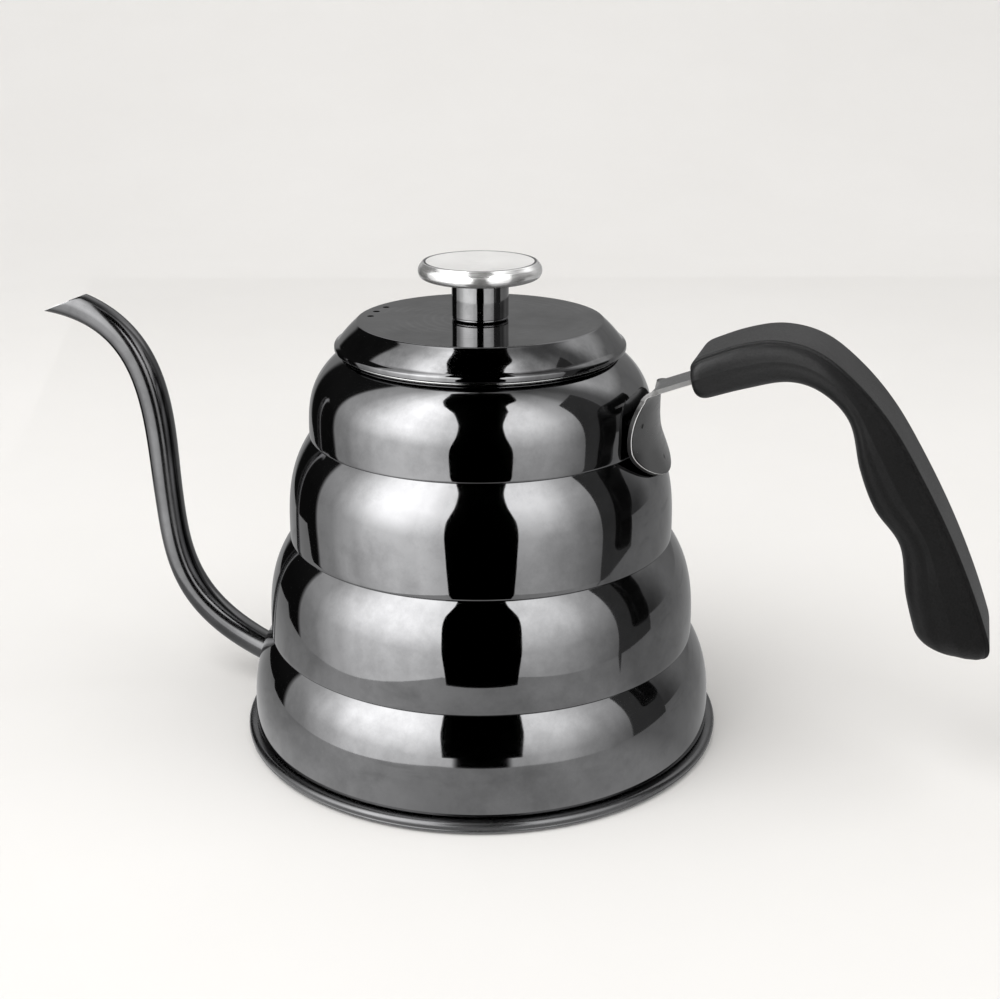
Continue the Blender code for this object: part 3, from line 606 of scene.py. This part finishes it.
def grip_section(full, ridge):
    """Half outline from the middle of the back to the middle of the finger side.

    Points are (half width, height from the middle of the thickness); ridge is how sharply
    the flank folds at its line, from 0 to 1.
    """
    h = full / 2
    top, side = GRIP_TOP_HALF_WIDTH, GRIP_HALF_WIDTH
    low = min(GRIP_LOW_ROUND, h * 0.95)
    fold = h - GRIP_FOLD * full
    edge = top - GRIP_EDGE_INSET
    points = [(y, h) for y in np.linspace(0, edge, 7)]
    points += arc((edge, h - GRIP_EDGE_ROUND), GRIP_EDGE_ROUND, 80, 0, 5)
    points += [(top - 0.2, h - 0.8), (top - 0.22, h - 1.05), (top - 0.05, h - 1.3)]
    for a in np.radians(np.linspace(GRIP_ARC_ANGLE, 0, 9)):
        y = side - GRIP_ARC_WIDTH * (1 - math.cos(a))
        points.append((y, h - GRIP_ARC_DROP + GRIP_ARC_RISE * math.sin(a) / GRIP_ARC_SINE))
    start, bend = points[-1][1], -h + low
    for s in np.linspace(0.2, 1, 7):
        p = start + (fold - start) * s
        points.append((side + 0.1 * s * ridge, p))
    crest, lower = side + 0.1 * ridge, side - 0.35 - 0.75 * ridge
    for s in np.linspace(0.12, 1, 6):
        points.append((crest + (lower - crest) * s, fold + (bend - fold) * s))
    for a in np.radians(np.linspace(8, 90, 14)):
        y = lower - GRIP_LOW_WIDTH * (1 - math.cos(a) ** 0.9)
        points.append((y, bend - low * math.sin(a)))
    points += [(y, -h) for y in np.linspace(lower - GRIP_LOW_WIDTH, 0, 4)[1:]]
    return np.array(points)


def make_grip():
    """Section swept from the strap to the tip, with both ends rounded off."""
    fine = np.linspace(0, 1, 1201)
    back, fingers = through(GRIP_BACK, fine), through(GRIP_FINGERS, fine)
    middle = (back + fingers) / 2
    travel = np.concatenate([[0], np.cumsum(np.linalg.norm(np.diff(middle, axis=0), axis=1))])
    total = travel[-1]
    near = GRIP_NEAR_ROUND * (1 - np.cos(np.linspace(0, math.pi / 2, 10)))
    far = total - GRIP_FAR_ROUND * (1 - np.cos(np.linspace(math.pi / 2, 0, 26)))
    body = np.linspace(GRIP_NEAR_ROUND, total - GRIP_FAR_ROUND, 110)[1:-1]
    rings = []
    for place in np.concatenate([near, body, far]):
        t = np.interp(place, travel, fine)
        a, b = through(GRIP_BACK, [t])[0], through(GRIP_FINGERS, [t])[0]
        full = np.linalg.norm(a - b)
        up, centre = (a - b) / full, (a + b) / 2
        ridge = float(np.clip((t - RIDGE_START) / RIDGE_SPAN, 0, 1))
        half = grip_section(full, ridge)
        start = rounding(place, GRIP_NEAR_ROUND, GRIP_END_POWER)
        end = rounding(total - place, GRIP_FAR_ROUND, GRIP_END_POWER)
        high = (GRIP_NEAR_HEIGHT + (1 - GRIP_NEAR_HEIGHT) * start) * max(end, GRIP_LEAST)
        wide = GRIP_NEAR_WIDTH + (1 - GRIP_NEAR_WIDTH) * rounding(place, GRIP_NEAR_ROUND)
        wide *= GRIP_FAR_WIDTH + (1 - GRIP_FAR_WIDTH) * end
        outline = np.vstack([half, half[-2:0:-1] * (-1, 1)])
        kept_back = GRIP_TIP_BACK * (1 - end) * full / 2
        spot = centre[None] + up[None] * (outline[:, 1:] * high + kept_back)
        rings.append(np.stack([spot[:, 0], outline[:, 0] * wide, spot[:, 1]], -1))
    faces = capped_faces(len(rings), len(rings[0]))
    return mesh_object("grip", np.vstack(rings), faces, 38.0)


# Lid and knob


def make_lid():
    """Cover with a steep bowed edge, a curled hem and three vents."""
    rim_r, rim_z = LID_RIM
    under = LID_TOP - LID_SHEET
    edge_spot = (LID_PLATE_RADIUS - 0.55, LID_TOP - LID_EDGE_ROUND)
    edge = arc(edge_spot, LID_EDGE_ROUND, 90, 40, 6)
    start = np.array(edge[-1])
    stop = np.array([rim_r - 0.55, rim_z + 1.5])
    bow = np.array([0.77, 0.64]) * LID_BOW
    shares = np.linspace(0, 1, 14)
    slant = [start + (stop - start) * s + bow * math.sin(math.pi * s) for s in shares]
    hem = arc((rim_r - LID_HEM_ROUND, rim_z + 0.95), LID_HEM_ROUND, 32, 0, 5)
    hem += arc((rim_r - LID_HEM_CURL, rim_z + LID_HEM_CURL), LID_HEM_CURL, 0, -180, 10)
    dish = [(r, LID_TOP - 0.02) for r in (LID_HOLE_RADIUS, 12.0, 24.0, LID_PLATE_RADIUS - 2.2)]
    profile = [
        *dish, (LID_PLATE_RADIUS - 1.6, LID_TOP), *edge, *slant[1:-1], *hem,
        (rim_r - 0.9, rim_z + 1.0), (LID_PLATE_RADIUS - 0.65, under), (LID_HOLE_RADIUS, under),
    ]
    lid = revolve("lid_top", profile, sharp=42.0)
    for step in (1, 0, -1):
        a = math.pi + VENT_SPACING * step
        spot = (VENT_CIRCLE * MM * math.cos(a), VENT_CIRCLE * MM * math.sin(a), LID_TOP * MM)
        bpy.ops.mesh.primitive_cylinder_add(
            vertices=40, radius=VENT_RADIUS * MM, depth=6 * MM, location=spot
        )
        hole = lid.modifiers.new("vent", "BOOLEAN")
        hole.operation = "DIFFERENCE"
        hole.solver = "EXACT"
        hole.object = bpy.context.object
    bake_holes(lid)
    return lid


def make_skirt():
    """Inner ring that centres the lid: its edges are rounded to half the sheet."""
    r = SKIRT_SHEET / 2
    flange = arc((SKIRT_FLANGE - r, SKIRT_SEAT + r), r, 90, -90, 9)
    lower = arc((SKIRT_RADIUS - r, SKIRT_BOTTOM + r), r, 0, -180, 9)
    corner = (SKIRT_RADIUS - SKIRT_SHEET, SKIRT_SEAT + SKIRT_SHEET)
    return revolve("lid_ring", [corner, *flange, (SKIRT_RADIUS, SKIRT_SEAT), *lower], sharp=30.0)


def bake_holes(obj):
    """Turns the Boolean modifiers into plain mesh and removes their cutters."""
    graph = bpy.context.evaluated_depsgraph_get()
    mesh = bpy.data.meshes.new_from_object(obj.evaluated_get(graph))
    cutters = [hole.object for hole in obj.modifiers]
    obj.modifiers.clear()
    obj.data = mesh
    for cutter in cutters:
        bpy.data.objects.remove(cutter, do_unlink=True)


def make_neck():
    """Hollow post with both edges broken."""
    r, low = NECK_RADIUS, NECK_FOOT
    profile = [
        (NECK_BORE, NECK_TOP), (r - NECK_TOP_EDGE, NECK_TOP), (r, NECK_TOP - NECK_TOP_EDGE),
        (r, low + 1.0), (r, low + 0.4), (r, low + NECK_FOOT_EDGE), (r - NECK_FOOT_EDGE, low),
        (NECK_BORE, low),
    ]
    return revolve("knob_post", profile, segments=128, sharp=30.0)


def make_foot_washer():
    """Thin flange under the post, with a rounded edge."""
    foot, top, half = WASHER_FOOT, WASHER_FOOT + WASHER_SHEET, WASHER_SHEET / 2
    r = NECK_RADIUS - 0.35
    profile = [
        (LID_HOLE_RADIUS, top), (r, top), *arc((r, foot + half), half, 90, -90, 7),
        (LID_HOLE_RADIUS, foot),
    ]
    return revolve("knob_flange", profile, segments=128, sharp=30.0)


def make_knob():
    """Turned disc: a slightly domed face inside a fine groove, and a round edge."""
    r = KNOB_RADIUS
    top_r = r - 1.25
    crown = [(0.0, KNOB_TOP - 0.5), (0.7, KNOB_TOP - 0.49), (1.1, KNOB_TOP - 0.4)]
    shares = np.linspace(0.12, KNOB_FACE, 16)
    crown += [(top_r * s, KNOB_TOP - KNOB_DOME * (1 - s**2)) for s in shares]
    crown += [(top_r * 0.96, KNOB_TOP - 0.25), (top_r * 0.98, KNOB_TOP - 0.02)]
    crown += arc((top_r - 0.25, KNOB_TOP - 0.35), 0.35, 90, 35, 5)
    flank = arc((r - KNOB_ROUND, KNOB_WAIST), KNOB_ROUND, 48, -42, 18)
    profile = [
        *crown, *flank, (r - 1.2, KNOB_BOTTOM + 0.25), (r - 1.9, KNOB_BOTTOM),
        (NECK_RADIUS + 0.6, KNOB_BOTTOM), (KNOB_BORE, KNOB_BOTTOM),
        (KNOB_BORE, KNOB_BORE_TOP), (0.0, KNOB_BORE_TOP),
    ]
    knob = revolve("knob_disc", profile, closed=False, segments=192, sharp=24.0)
    # The face gets a whiter, mostly diffuse copy of the steel, which is painted light; the
    # groove ring gets painted shade
    for polygon in knob.data.polygons:
        spot = polygon.center / MM
        if spot.z > KNOB_TOP - 0.55:
            share = math.hypot(spot.x, spot.y) / top_r
            polygon.material_index = 1 if share < KNOB_FACE else 2 if share < KNOB_GROOVE else 0
    return knob


# Materials


def rgba(value):
    """A grey level or a colour as four channels."""
    return (*(value if np.ndim(value) else [value] * 3), 1.0)


class Nodes:
    """Small helper for building a node tree."""

    def __init__(self, tree):
        self.tree = tree

    def add(self, kind, *inputs, **settings):
        """New node; an input is an output to link, a value, or None to leave it alone."""
        node = self.tree.nodes.new(kind)
        for key, value in settings.items():
            setattr(node, key, value)
        for socket, value in zip(node.inputs, inputs):
            self.feed(socket, value)
        return node

    def feed(self, socket, value):
        if hasattr(value, "is_output"):
            self.tree.links.new(value, socket)
        elif value is not None:
            socket.default_value = rgba(value) if socket.type == "RGBA" else value

    def put(self, node, **inputs):
        for name, value in inputs.items():
            self.feed(node.inputs[name], value)

    def math(self, kind, *values):
        return self.add("ShaderNodeMath", *values, operation=kind).outputs["Value"]

    def mix(self, kind, factor, first, second):
        node = self.add("ShaderNodeMixRGB", factor, first, second, blend_type=kind)
        return node.outputs["Color"]

    def stops(self, source, stops):
        """Source becomes the levels or colours of (position, level) stops."""
        node = self.add("ShaderNodeValToRGB", source)
        elements = node.color_ramp.elements
        elements.remove(elements[-1])
        for i, (position, level) in enumerate(stops):
            element = elements[0] if i == 0 else elements.new(position)
            element.position = position
            element.color = rgba(level)
        return node.outputs["Color"]

    def ramp(self, source, low, high, start=0.3, end=0.7):
        """Source from start to end becomes low to high."""
        return self.stops(source, ((start, low), (end, high)))


class Finish(Nodes):
    """Nodes of one new material, round its Principled shader."""

    def __init__(self, name):
        self.material = bpy.data.materials.new(name)
        self.material.use_nodes = True
        super().__init__(self.material.node_tree)
        self.shader = self.tree.nodes["Principled BSDF"]
        self.place = self.add("ShaderNodeTexCoord").outputs["Object"]

    def noise(self, scale, stretch=(1, 1, 1), detail=3.0, rough=0.5):
        """Noise whose grain is 1/scale metres, stretched along the axes."""
        spread = self.add("ShaderNodeMapping", self.place)
        self.put(spread, Scale=stretch)
        node = self.add("ShaderNodeTexNoise", spread.outputs["Vector"])
        self.put(node, Scale=scale, Detail=detail, Roughness=rough)
        return node.outputs["Fac"]

    def bump(self, height, depth_mm, strength=1.0, after=None):
        node = self.add("ShaderNodeBump")
        self.put(node, Strength=strength, Distance=depth_mm * MM, Height=height, Normal=after)
        return node.outputs["Normal"]

    def radius(self):
        """Distance from the Z axis, in metres."""
        flat = self.add("ShaderNodeVectorMath", self.place, (1, 1, 0), operation="MULTIPLY")
        length = self.add("ShaderNodeVectorMath", flat.outputs["Vector"], operation="LENGTH")
        return length.outputs["Value"]

    def rings(self, pitch_mm):
        """Wave from -1 to 1 in concentric rings round the Z axis."""
        angle = self.math("MULTIPLY", self.radius(), 2 * math.pi / (pitch_mm * MM))
        return self.math("SINE", angle)

    def finish(self, colour, roughness, normal=None, metallic=1.0):
        self.feed(self.shader.inputs["Base Color"], colour)
        self.put(self.shader, Roughness=roughness, Metallic=metallic, Normal=normal)
        return self.material


def polished_steel(name, tone, rough=(0.035, 0.09), wave=0.012, cloudy=0.1, turned=0.0):
    """Mirror-polished sheet: slight waves, fine polishing lines and faint smears.

    cloudy is how much the tone varies, and turned the pitch of faint rings in millimetres.
    """
    n = Finish(name)
    cloud = n.noise(75.0, detail=6.0, rough=0.62)
    smear = n.noise(9.0, (1, 1, 2.2), detail=6.0, rough=0.6)
    grain = n.noise(260.0, (0.05, 0.05, 6.0), detail=2.0)
    colour = n.ramp(cloud, [c * (1 - cloudy) for c in tone], [c * (1 + cloudy) for c in tone])
    blotch = n.noise(48.0, detail=6.0, rough=0.72)
    colour = n.mix("MULTIPLY", 1.0, colour, n.ramp(blotch, 1 - 2 * cloudy, 1.0, 0.36, 0.56))
    if turned:
        patch = n.math("MAXIMUM", n.math("SUBTRACT", n.noise(38.0, detail=2.0), 0.5), 0.0)
        ring = n.math("MULTIPLY", n.rings(turned), patch)
        colour = n.mix("MULTIPLY", 1.0, colour, n.ramp(ring, 0.86, 1.06, -0.1, 0.1))
    roughness = n.mix("ADD", 1.0, n.ramp(smear, *rough, 0.42, 0.78), n.ramp(grain, 0.0, 0.012))
    slow = n.bump(n.noise(22.0, (1, 1, 1.6), detail=1.0), wave)
    return n.finish(colour, roughness, n.bump(grain, 0.0006, 1.0, slow))


def brushed_steel(name, tone, rough, stretch):
    """Sheet with straight brushing lines and a few darker scuffs."""
    n = Finish(name)
    lines = n.noise(900.0, stretch, detail=3.0, rough=0.7)
    scuff = n.noise(60.0, detail=5.0, rough=0.65)
    colour = n.ramp(lines, [c * 0.88 for c in tone], tone)
    colour = n.mix("MULTIPLY", 0.5, colour, n.ramp(scuff, 0.75, 1.0, 0.35, 0.6))
    roughness = n.mix("ADD", 1.0, n.ramp(lines, *rough), n.ramp(scuff, 0.05, 0.0, 0.35, 0.55))
    return n.finish(colour, roughness, n.bump(lines, 0.002))


def bracket_steel(name, plate_shade_tone, strap_light_tone, rough=(0.14, 0.26), metallic=1.0):
    """Brushed sheet, painted shade darkening the saddle plate, with the dents left by its spot
    welds.
    """
    n = Finish(name)
    lines = n.noise(900.0, (1.0, 0.05, 1.0), detail=3.0, rough=0.7)
    scuff = n.noise(60.0, detail=5.0, rough=0.65)
    height = n.add("ShaderNodeSeparateXYZ", n.place).outputs["Z"]
    level = n.math("MULTIPLY", height, 1 / (TONE_SPAN * MM))
    ends = (PLATE_SHADE_TOP / TONE_SPAN, STRAP_LIGHT_BOTTOM / TONE_SPAN)
    # Painted shade on the plate below, painted light on the strap above
    tone = n.ramp(level, plate_shade_tone, strap_light_tone, *ends)
    colour = n.mix("MULTIPLY", 0.5, tone, n.ramp(lines, 0.78, 1.0))
    colour = n.mix("MULTIPLY", 0.6, colour, n.ramp(scuff, 0.7, 1.0, 0.35, 0.6))
    dent = None
    for across, z in WELD_DENTS:
        r = plate_radius(z) + PLATE_SHEET / 2
        spot = (r * math.cos(across / r) * MM, r * math.sin(across / r) * MM, z * MM)
        gap = n.add("ShaderNodeVectorMath", n.place, spot, operation="DISTANCE").outputs["Value"]
        near = n.math("MULTIPLY", gap, 1 / (WELD_DENT_RADIUS * MM))
        dent = near if dent is None else n.math("MINIMUM", dent, near)
    wobble = n.math("MULTIPLY", n.noise(900.0, detail=2.0), 0.3)
    dent = n.ramp(n.math("ADD", dent, wobble), 0.0, 1.0, 0.45, 0.75)
    colour = n.mix("MULTIPLY", 0.85, colour, dent)
    roughness = n.mix("ADD", 1.0, n.ramp(lines, *rough), n.ramp(scuff, 0.05, 0.0, 0.35, 0.55))
    pressed = n.bump(dent, 0.25, 0.8)
    return n.finish(colour, roughness, n.bump(lines, 0.002, 1.0, pressed), metallic)


def turned_steel(name, tone, rough, pitch_mm=0.35, metallic=1.0):
    """Lathe-turned steel: fine concentric rings round the Z axis."""
    n = Finish(name)
    ring = n.math("MULTIPLY", n.rings(pitch_mm), 0.35)
    ring = n.math("ADD", ring, n.noise(500.0, (1, 1, 8), detail=4.0))
    cloud = n.noise(70.0, detail=4.0)
    colour = n.ramp(cloud, [c * 0.93 for c in tone], tone)
    colour = n.mix("MULTIPLY", 1.0, colour, n.ramp(ring, 0.88, 1.0, 0.1, 0.7))
    roughness = n.mix("ADD", 1.0, n.ramp(cloud, *rough), n.ramp(ring, 0.0, 0.05, 0.2, 0.8))
    return n.finish(colour, roughness, n.bump(ring, 0.0012), metallic)


def moulded_resin(name):
    """Fine-textured black phenolic with faint rubbed patches."""
    n = Finish(name)
    grain = n.noise(1700.0, detail=2.0, rough=0.6)
    pores = n.noise(4200.0, detail=1.0)
    rub = n.noise(26.0, detail=5.0, rough=0.6)
    n.shader.inputs["Specular IOR Level"].default_value = 0.4
    base = n.ramp(rub, (0.006, 0.006, 0.0063), (0.01, 0.01, 0.0104))
    colour = n.mix("ADD", 1.0, base, n.ramp(grain, 0.0, 0.006))
    roughness = n.mix("ADD", 1.0, n.ramp(rub, 0.44, 0.36, 0.35, 0.7), n.ramp(grain, 0.06, 0.0))
    normal = n.bump(pores, 0.02, 0.5, n.bump(grain, 0.08, 0.9))
    return n.finish(colour, roughness, normal, metallic=0.0)


def plain_metal(name, tone, rough, metallic=1.0):
    """Bare metal with a faintly uneven surface."""
    n = Finish(name)
    cloud = n.noise(140.0, detail=5.0, rough=0.65)
    fine = n.noise(1500.0, detail=2.0)
    colour = n.ramp(cloud, [c * 0.85 for c in tone], tone)
    roughness = n.ramp(cloud, rough + 0.08, rough - 0.04)
    return n.finish(colour, roughness, n.bump(fine, 0.01, 0.4), metallic)


# Studio


def place_view(x, y, z=0.0):
    """View-frame millimetres to row-frame metres."""
    return Matrix.Rotation(HANDLE_TURN, 4, "Z") @ (Vector((x, y, z)) * MM)


def stage_sheet(name, corners, material, seen_by=("glossy",), faces=None):
    """Studio sheet with corners in pairs along a strip, unless its faces are given."""
    mesh = bpy.data.meshes.new(name)
    mesh.from_pydata([tuple(c) for c in corners], [], faces or grid_faces(len(corners) // 2, 2))
    mesh.materials.append(material)
    mesh.shade_smooth()
    sheet = new_object(name, mesh)
    for kind in ("camera", "diffuse", "glossy", "transmission", "shadow"):
        setattr(sheet, "visible_" + kind, kind in seen_by)


def floor_material():
    """Pale, very slightly clouded backdrop."""
    n = Finish("studio_floor")
    cloud = n.noise(3.0, detail=6.0, rough=0.6)
    colour = n.ramp(cloud, *FLOOR_TONES, 0.35, 0.65)
    n.shader.inputs["Specular IOR Level"].default_value = 0.2
    return n.finish(colour, 0.6, metallic=0.0)


def by_angle(stops, peak):
    """Stops in degrees, -180 to 180, as ramp stops."""
    return [((a + 180) / 360, level / peak) for a, level in stops]


def view_angle(n, vector):
    """Share of a turn, 0.5 towards the camera and more to its left, and the height."""
    turn = n.add("ShaderNodeMapping", vector)
    n.put(turn, Rotation=(0.0, 0.0, -HANDLE_TURN))
    split = n.add("ShaderNodeSeparateXYZ", turn.outputs["Vector"])
    left, near = (n.math("MULTIPLY", split.outputs[axis], -1.0) for axis in "XY")
    angle = n.math("ARCTAN2", left, near)
    return n.math("MULTIPLY_ADD", angle, 1 / (2 * math.pi), 0.5), split.outputs["Z"]


def make_world():
    """Pale room for shadows and backdrop; mirrors see soft lights in a darker room."""
    world = bpy.data.worlds.new("studio")
    bpy.context.scene.world = world
    world.use_nodes = True
    world.cycles.sampling_method = "NONE"
    n = Nodes(world.node_tree)
    n.tree.nodes.clear()
    share, up = view_angle(n, n.add("ShaderNodeTexCoord").outputs["Generated"])
    height = n.math("MULTIPLY_ADD", up, 0.5, 0.5)

    around = n.stops(share, by_angle(ROOM_ROUND, ROOM_PEAK))
    rises = []
    for stops in (RISE_LEFT, RISE_RIGHT, RISE_BACK):
        places = [(math.sin(math.radians(e)) + 1) / 2 for e, _ in stops]
        levels = [level / RISE_PEAK for _, level in stops]
        rises.append(n.stops(height, zip(places, levels)))
    zone = n.stops(share, [((a + 180) / 360, parts) for a, parts in RISE_ZONES])
    each = n.add("ShaderNodeCombineXYZ", *rises).outputs[0]
    rise = n.add("ShaderNodeVectorMath", each, zone, operation="DOT_PRODUCT").outputs["Value"]
    rise = n.math("ADD", rise, n.stops(share, by_angle(RISE_LIFT, RISE_PEAK)))
    room = n.add("ShaderNodeVectorMath", around, operation="SCALE")
    n.put(room, Scale=rise)
    dim = n.add("ShaderNodeBackground", room.outputs["Vector"], RISE_PEAK * ROOM_PEAK)
    pale = n.add("ShaderNodeBackground", PALE_TINT, PALE_LEVEL)
    path = n.add("ShaderNodeLightPath").outputs["Is Glossy Ray"]
    pick = n.add("ShaderNodeMixShader", path, pale.outputs[0], dim.outputs[0])
    n.add("ShaderNodeOutputWorld", pick.outputs[0])


def glow_material(name, strength, colour=None):
    """Sheet that only glows, evenly or in the colour that a function makes with its nodes."""
    material = bpy.data.materials.new(name)
    material.use_nodes = True
    n = Nodes(material.node_tree)
    n.tree.nodes.clear()
    glow = n.add("ShaderNodeEmission", colour(n) if colour else 1.0, strength)
    n.add("ShaderNodeOutputMaterial", glow.outputs[0])
    material.cycles.emission_sampling = "NONE"
    return material


def table_colour(n):
    """Lit, faintly veined table top, by degrees round."""
    place = n.add("ShaderNodeTexCoord").outputs["Object"]
    around = n.stops(view_angle(n, place)[0], by_angle(TABLE_ROUND, TABLE_PEAK))
    veins = n.add("ShaderNodeTexNoise", place)
    n.put(veins, Scale=14.0, Detail=7.0, Roughness=0.62, Distortion=0.6)
    tone = n.stops(veins.outputs["Fac"], TABLE_VEINS)
    return n.add("ShaderNodeVectorMath", around, tone, operation="MULTIPLY").outputs["Vector"]


def area_light(name, spot, size, watts):
    """Square light, aimed at the kettle."""
    light = bpy.data.lights.new(name, "AREA")
    light.shape = "RECTANGLE"
    light.size = light.size_y = size
    light.energy = watts
    light.color = LIGHT_TINT
    obj = new_object(name, light)
    obj.location = place_view(*spot)
    aim = place_view(*LIGHT_AIM) - obj.location
    obj.rotation_mode = "QUATERNION"
    obj.rotation_quaternion = aim.to_track_quat("-Z", "Y")
    obj.visible_glossy = False
    obj.visible_camera = False


def make_studio():
    """A sweep for the camera, and a table, a card and a flag that only mirrors see."""
    near = [place_view(x, y, 0.1) for x, y in TABLE_OUTLINE]
    table = glow_material("studio_table", TABLE_PEAK, table_colour)
    stage_sheet("table", near, table, faces=[tuple(range(len(near)))])

    line = [(-FLOOR_REACH, 0.0), (SWEEP_START, 0.0)]
    for a in np.radians(np.linspace(5, 90, 18)):
        line.append((SWEEP_START + SWEEP_BEND * math.sin(a), SWEEP_BEND * (1 - math.cos(a))))
    line.append((SWEEP_START + SWEEP_BEND, SWEEP_TOP))
    corners = [place_view(x, y, z) for y, z in line for x in (-FLOOR_REACH, FLOOR_REACH)]
    stage_sheet("sweep", corners, floor_material(), ("camera", "diffuse", "shadow"))

    card = through(CARD_SHAPE, np.linspace(0, 1, 120))
    corners = [place_view(x, CARD_FRONT, z) for z, left, right in card for x in (-left, right)]
    stage_sheet("dark_card", corners, glow_material("studio_black", 0.0))
    corners = [place_view(x, y, z) for x, y, *ends in FLAG_LINE for z in ends]
    stage_sheet("dim_flag", corners, glow_material("studio_dim", FLAG_LEVEL))
    area_light("key", *KEY_LIGHT)
    area_light("fill", *FILL_LIGHT)


def make_camera():
    data = bpy.data.cameras.new("camera")
    data.lens = CAMERA_LENS
    data.sensor_width = 36.0
    data.clip_start = 0.01
    camera = new_object("camera", data)
    camera.location = place_view(0.0, -CAMERA_BACK, CAMERA_UP)
    camera.rotation_euler = (math.pi / 2 - CAMERA_PITCH, 0.0, HANDLE_TURN - CAMERA_YAW)
    bpy.context.scene.camera = camera
    bpy.context.scene.view_settings.view_transform = "Standard"


# Assembly


def dress(obj, body, slot, node, *materials):
    """Gives a visual piece its body and its materials and hides the CAD node it stands for; slot
    is not used.
    """
    for material in materials:
        obj.data.materials.append(material)
    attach(obj, body)
    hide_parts(node)


def paint(frame, node, material):
    """Puts a better material on a CAD node that is shown as it is."""
    for place in frame["nodes"][node].material_slots:
        place.material = material


def main():
    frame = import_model()
    gun = (0.185, 0.185, 0.188)
    body = polished_steel("gunmetal_body", gun)
    flange = polished_steel("gunmetal_tube", gun, (0.06, 0.12), wave=0.004)
    spout = polished_steel("gunmetal_spout", (0.12, 0.12, 0.122), (0.14, 0.22), wave=0.004)
    # Mouth's cut edge: a bright, half-diffuse painted highlight
    lip = plain_metal("spout_lip_highlight", (0.85, 0.85, 0.85), 0.35, metallic=0.4)
    lid = polished_steel("gunmetal_lid", gun, (0.03, 0.08), 0.006, cloudy=0.2, turned=2.6)
    rim = brushed_steel("rim_steel", (0.12, 0.12, 0.122), (0.2, 0.32), (0.05, 0.05, 1.0))
    # Bracket faces: painted shade on the plate, painted light on the strap
    strap = bracket_steel("strap_steel", 0.15, 0.3)
    # Bracket rims: near-black painted shade along the plate, painted light along the strap
    strap_side_shade_and_light = bracket_steel("strap_side_shade_and_light", 0.03, 0.42, (0.42, 0.5), metallic=0.4)
    # Bracket chamfers: a bright painted highlight line
    strap_edge_highlight = plain_metal("strap_edge_highlight", (0.8, 0.8, 0.8), 0.38, metallic=0.5)
    knob = turned_steel("knob_steel", (0.93, 0.93, 0.925), (0.15, 0.22), metallic=0.82)
    # Knob face: a whiter, mostly diffuse copy of the knob steel, which is painted light
    knob_face_light = turned_steel("knob_face_painted_light", (0.82, 0.82, 0.815), (0.26, 0.36), 0.6, 0.15)
    # Knob groove: a dark ring of painted shade
    knob_groove_shade = plain_metal("knob_groove_shade", (0.2, 0.2, 0.2), 0.4)
    post = polished_steel("gunmetal_post", (0.26, 0.26, 0.262), (0.06, 0.12), wave=0.004)
    cup = turned_steel("cup_steel", (0.5, 0.5, 0.495), (0.25, 0.36), 0.8)
    skirt = polished_steel("skirt_steel", (0.5, 0.5, 0.495), (0.1, 0.2))
    fixing = plain_metal("fixing_steel", (0.5, 0.5, 0.49), 0.3)
    alloy = plain_metal("spreader_alloy", (0.72, 0.72, 0.73), 0.4)
    brass = plain_metal("insert_brass", (0.7, 0.5, 0.22), 0.3)
    weld = plain_metal("weld_metal", (0.2, 0.2, 0.2), 0.28)
    resin = moulded_resin("grip_resin")

    dress(make_body(), "kettle", "body_steel", "body_shell", body)
    dress(make_pan(), "kettle", "rim_steel", "base_pan", rim)
    dress(make_base_cap(), "kettle", "cap_steel", "base_cap", cup)
    dress(make_spout(), "kettle", "spout_steel", "spout_tube", spout, lip)
    dress(make_spout_weld(), "kettle", "spout_steel", "spout_weld", weld)
    bracket = make_bracket()
    dress(bracket, "kettle", "strap_steel", "handle_bracket", strap, strap_side_shade_and_light, strap_edge_highlight)
    dress(make_grip(), "kettle", "grip_phenolic", "handle_grip", resin)
    dress(make_lid(), "lid", "body_steel", "lid_cover", lid)
    dress(make_skirt(), "lid", "cap_steel", "lid_skirt", skirt)
    dress(make_neck(), "lid", "spout_steel", "knob_neck", post)
    dress(make_foot_washer(), "lid", "rim_steel", "knob_foot_washer", flange)
    dress(make_knob(), "lid", "knob_steel", "knob_cap", knob, knob_face_light, knob_groove_shade)
    paint(frame, "heat_spreader", alloy)
    paint(frame, "knob_insert", brass)
    for node in ("grip_screw", "grip_nut", "lid_screw", "lid_flat_washer", "lid_spring_washer"):
        paint(frame, node, fixing)
    for place in ("upper_front", "upper_rear", "lower"):
        paint(frame, "spot_weld_" + place, weld)

    make_world()
    make_studio()
    make_camera()


main()
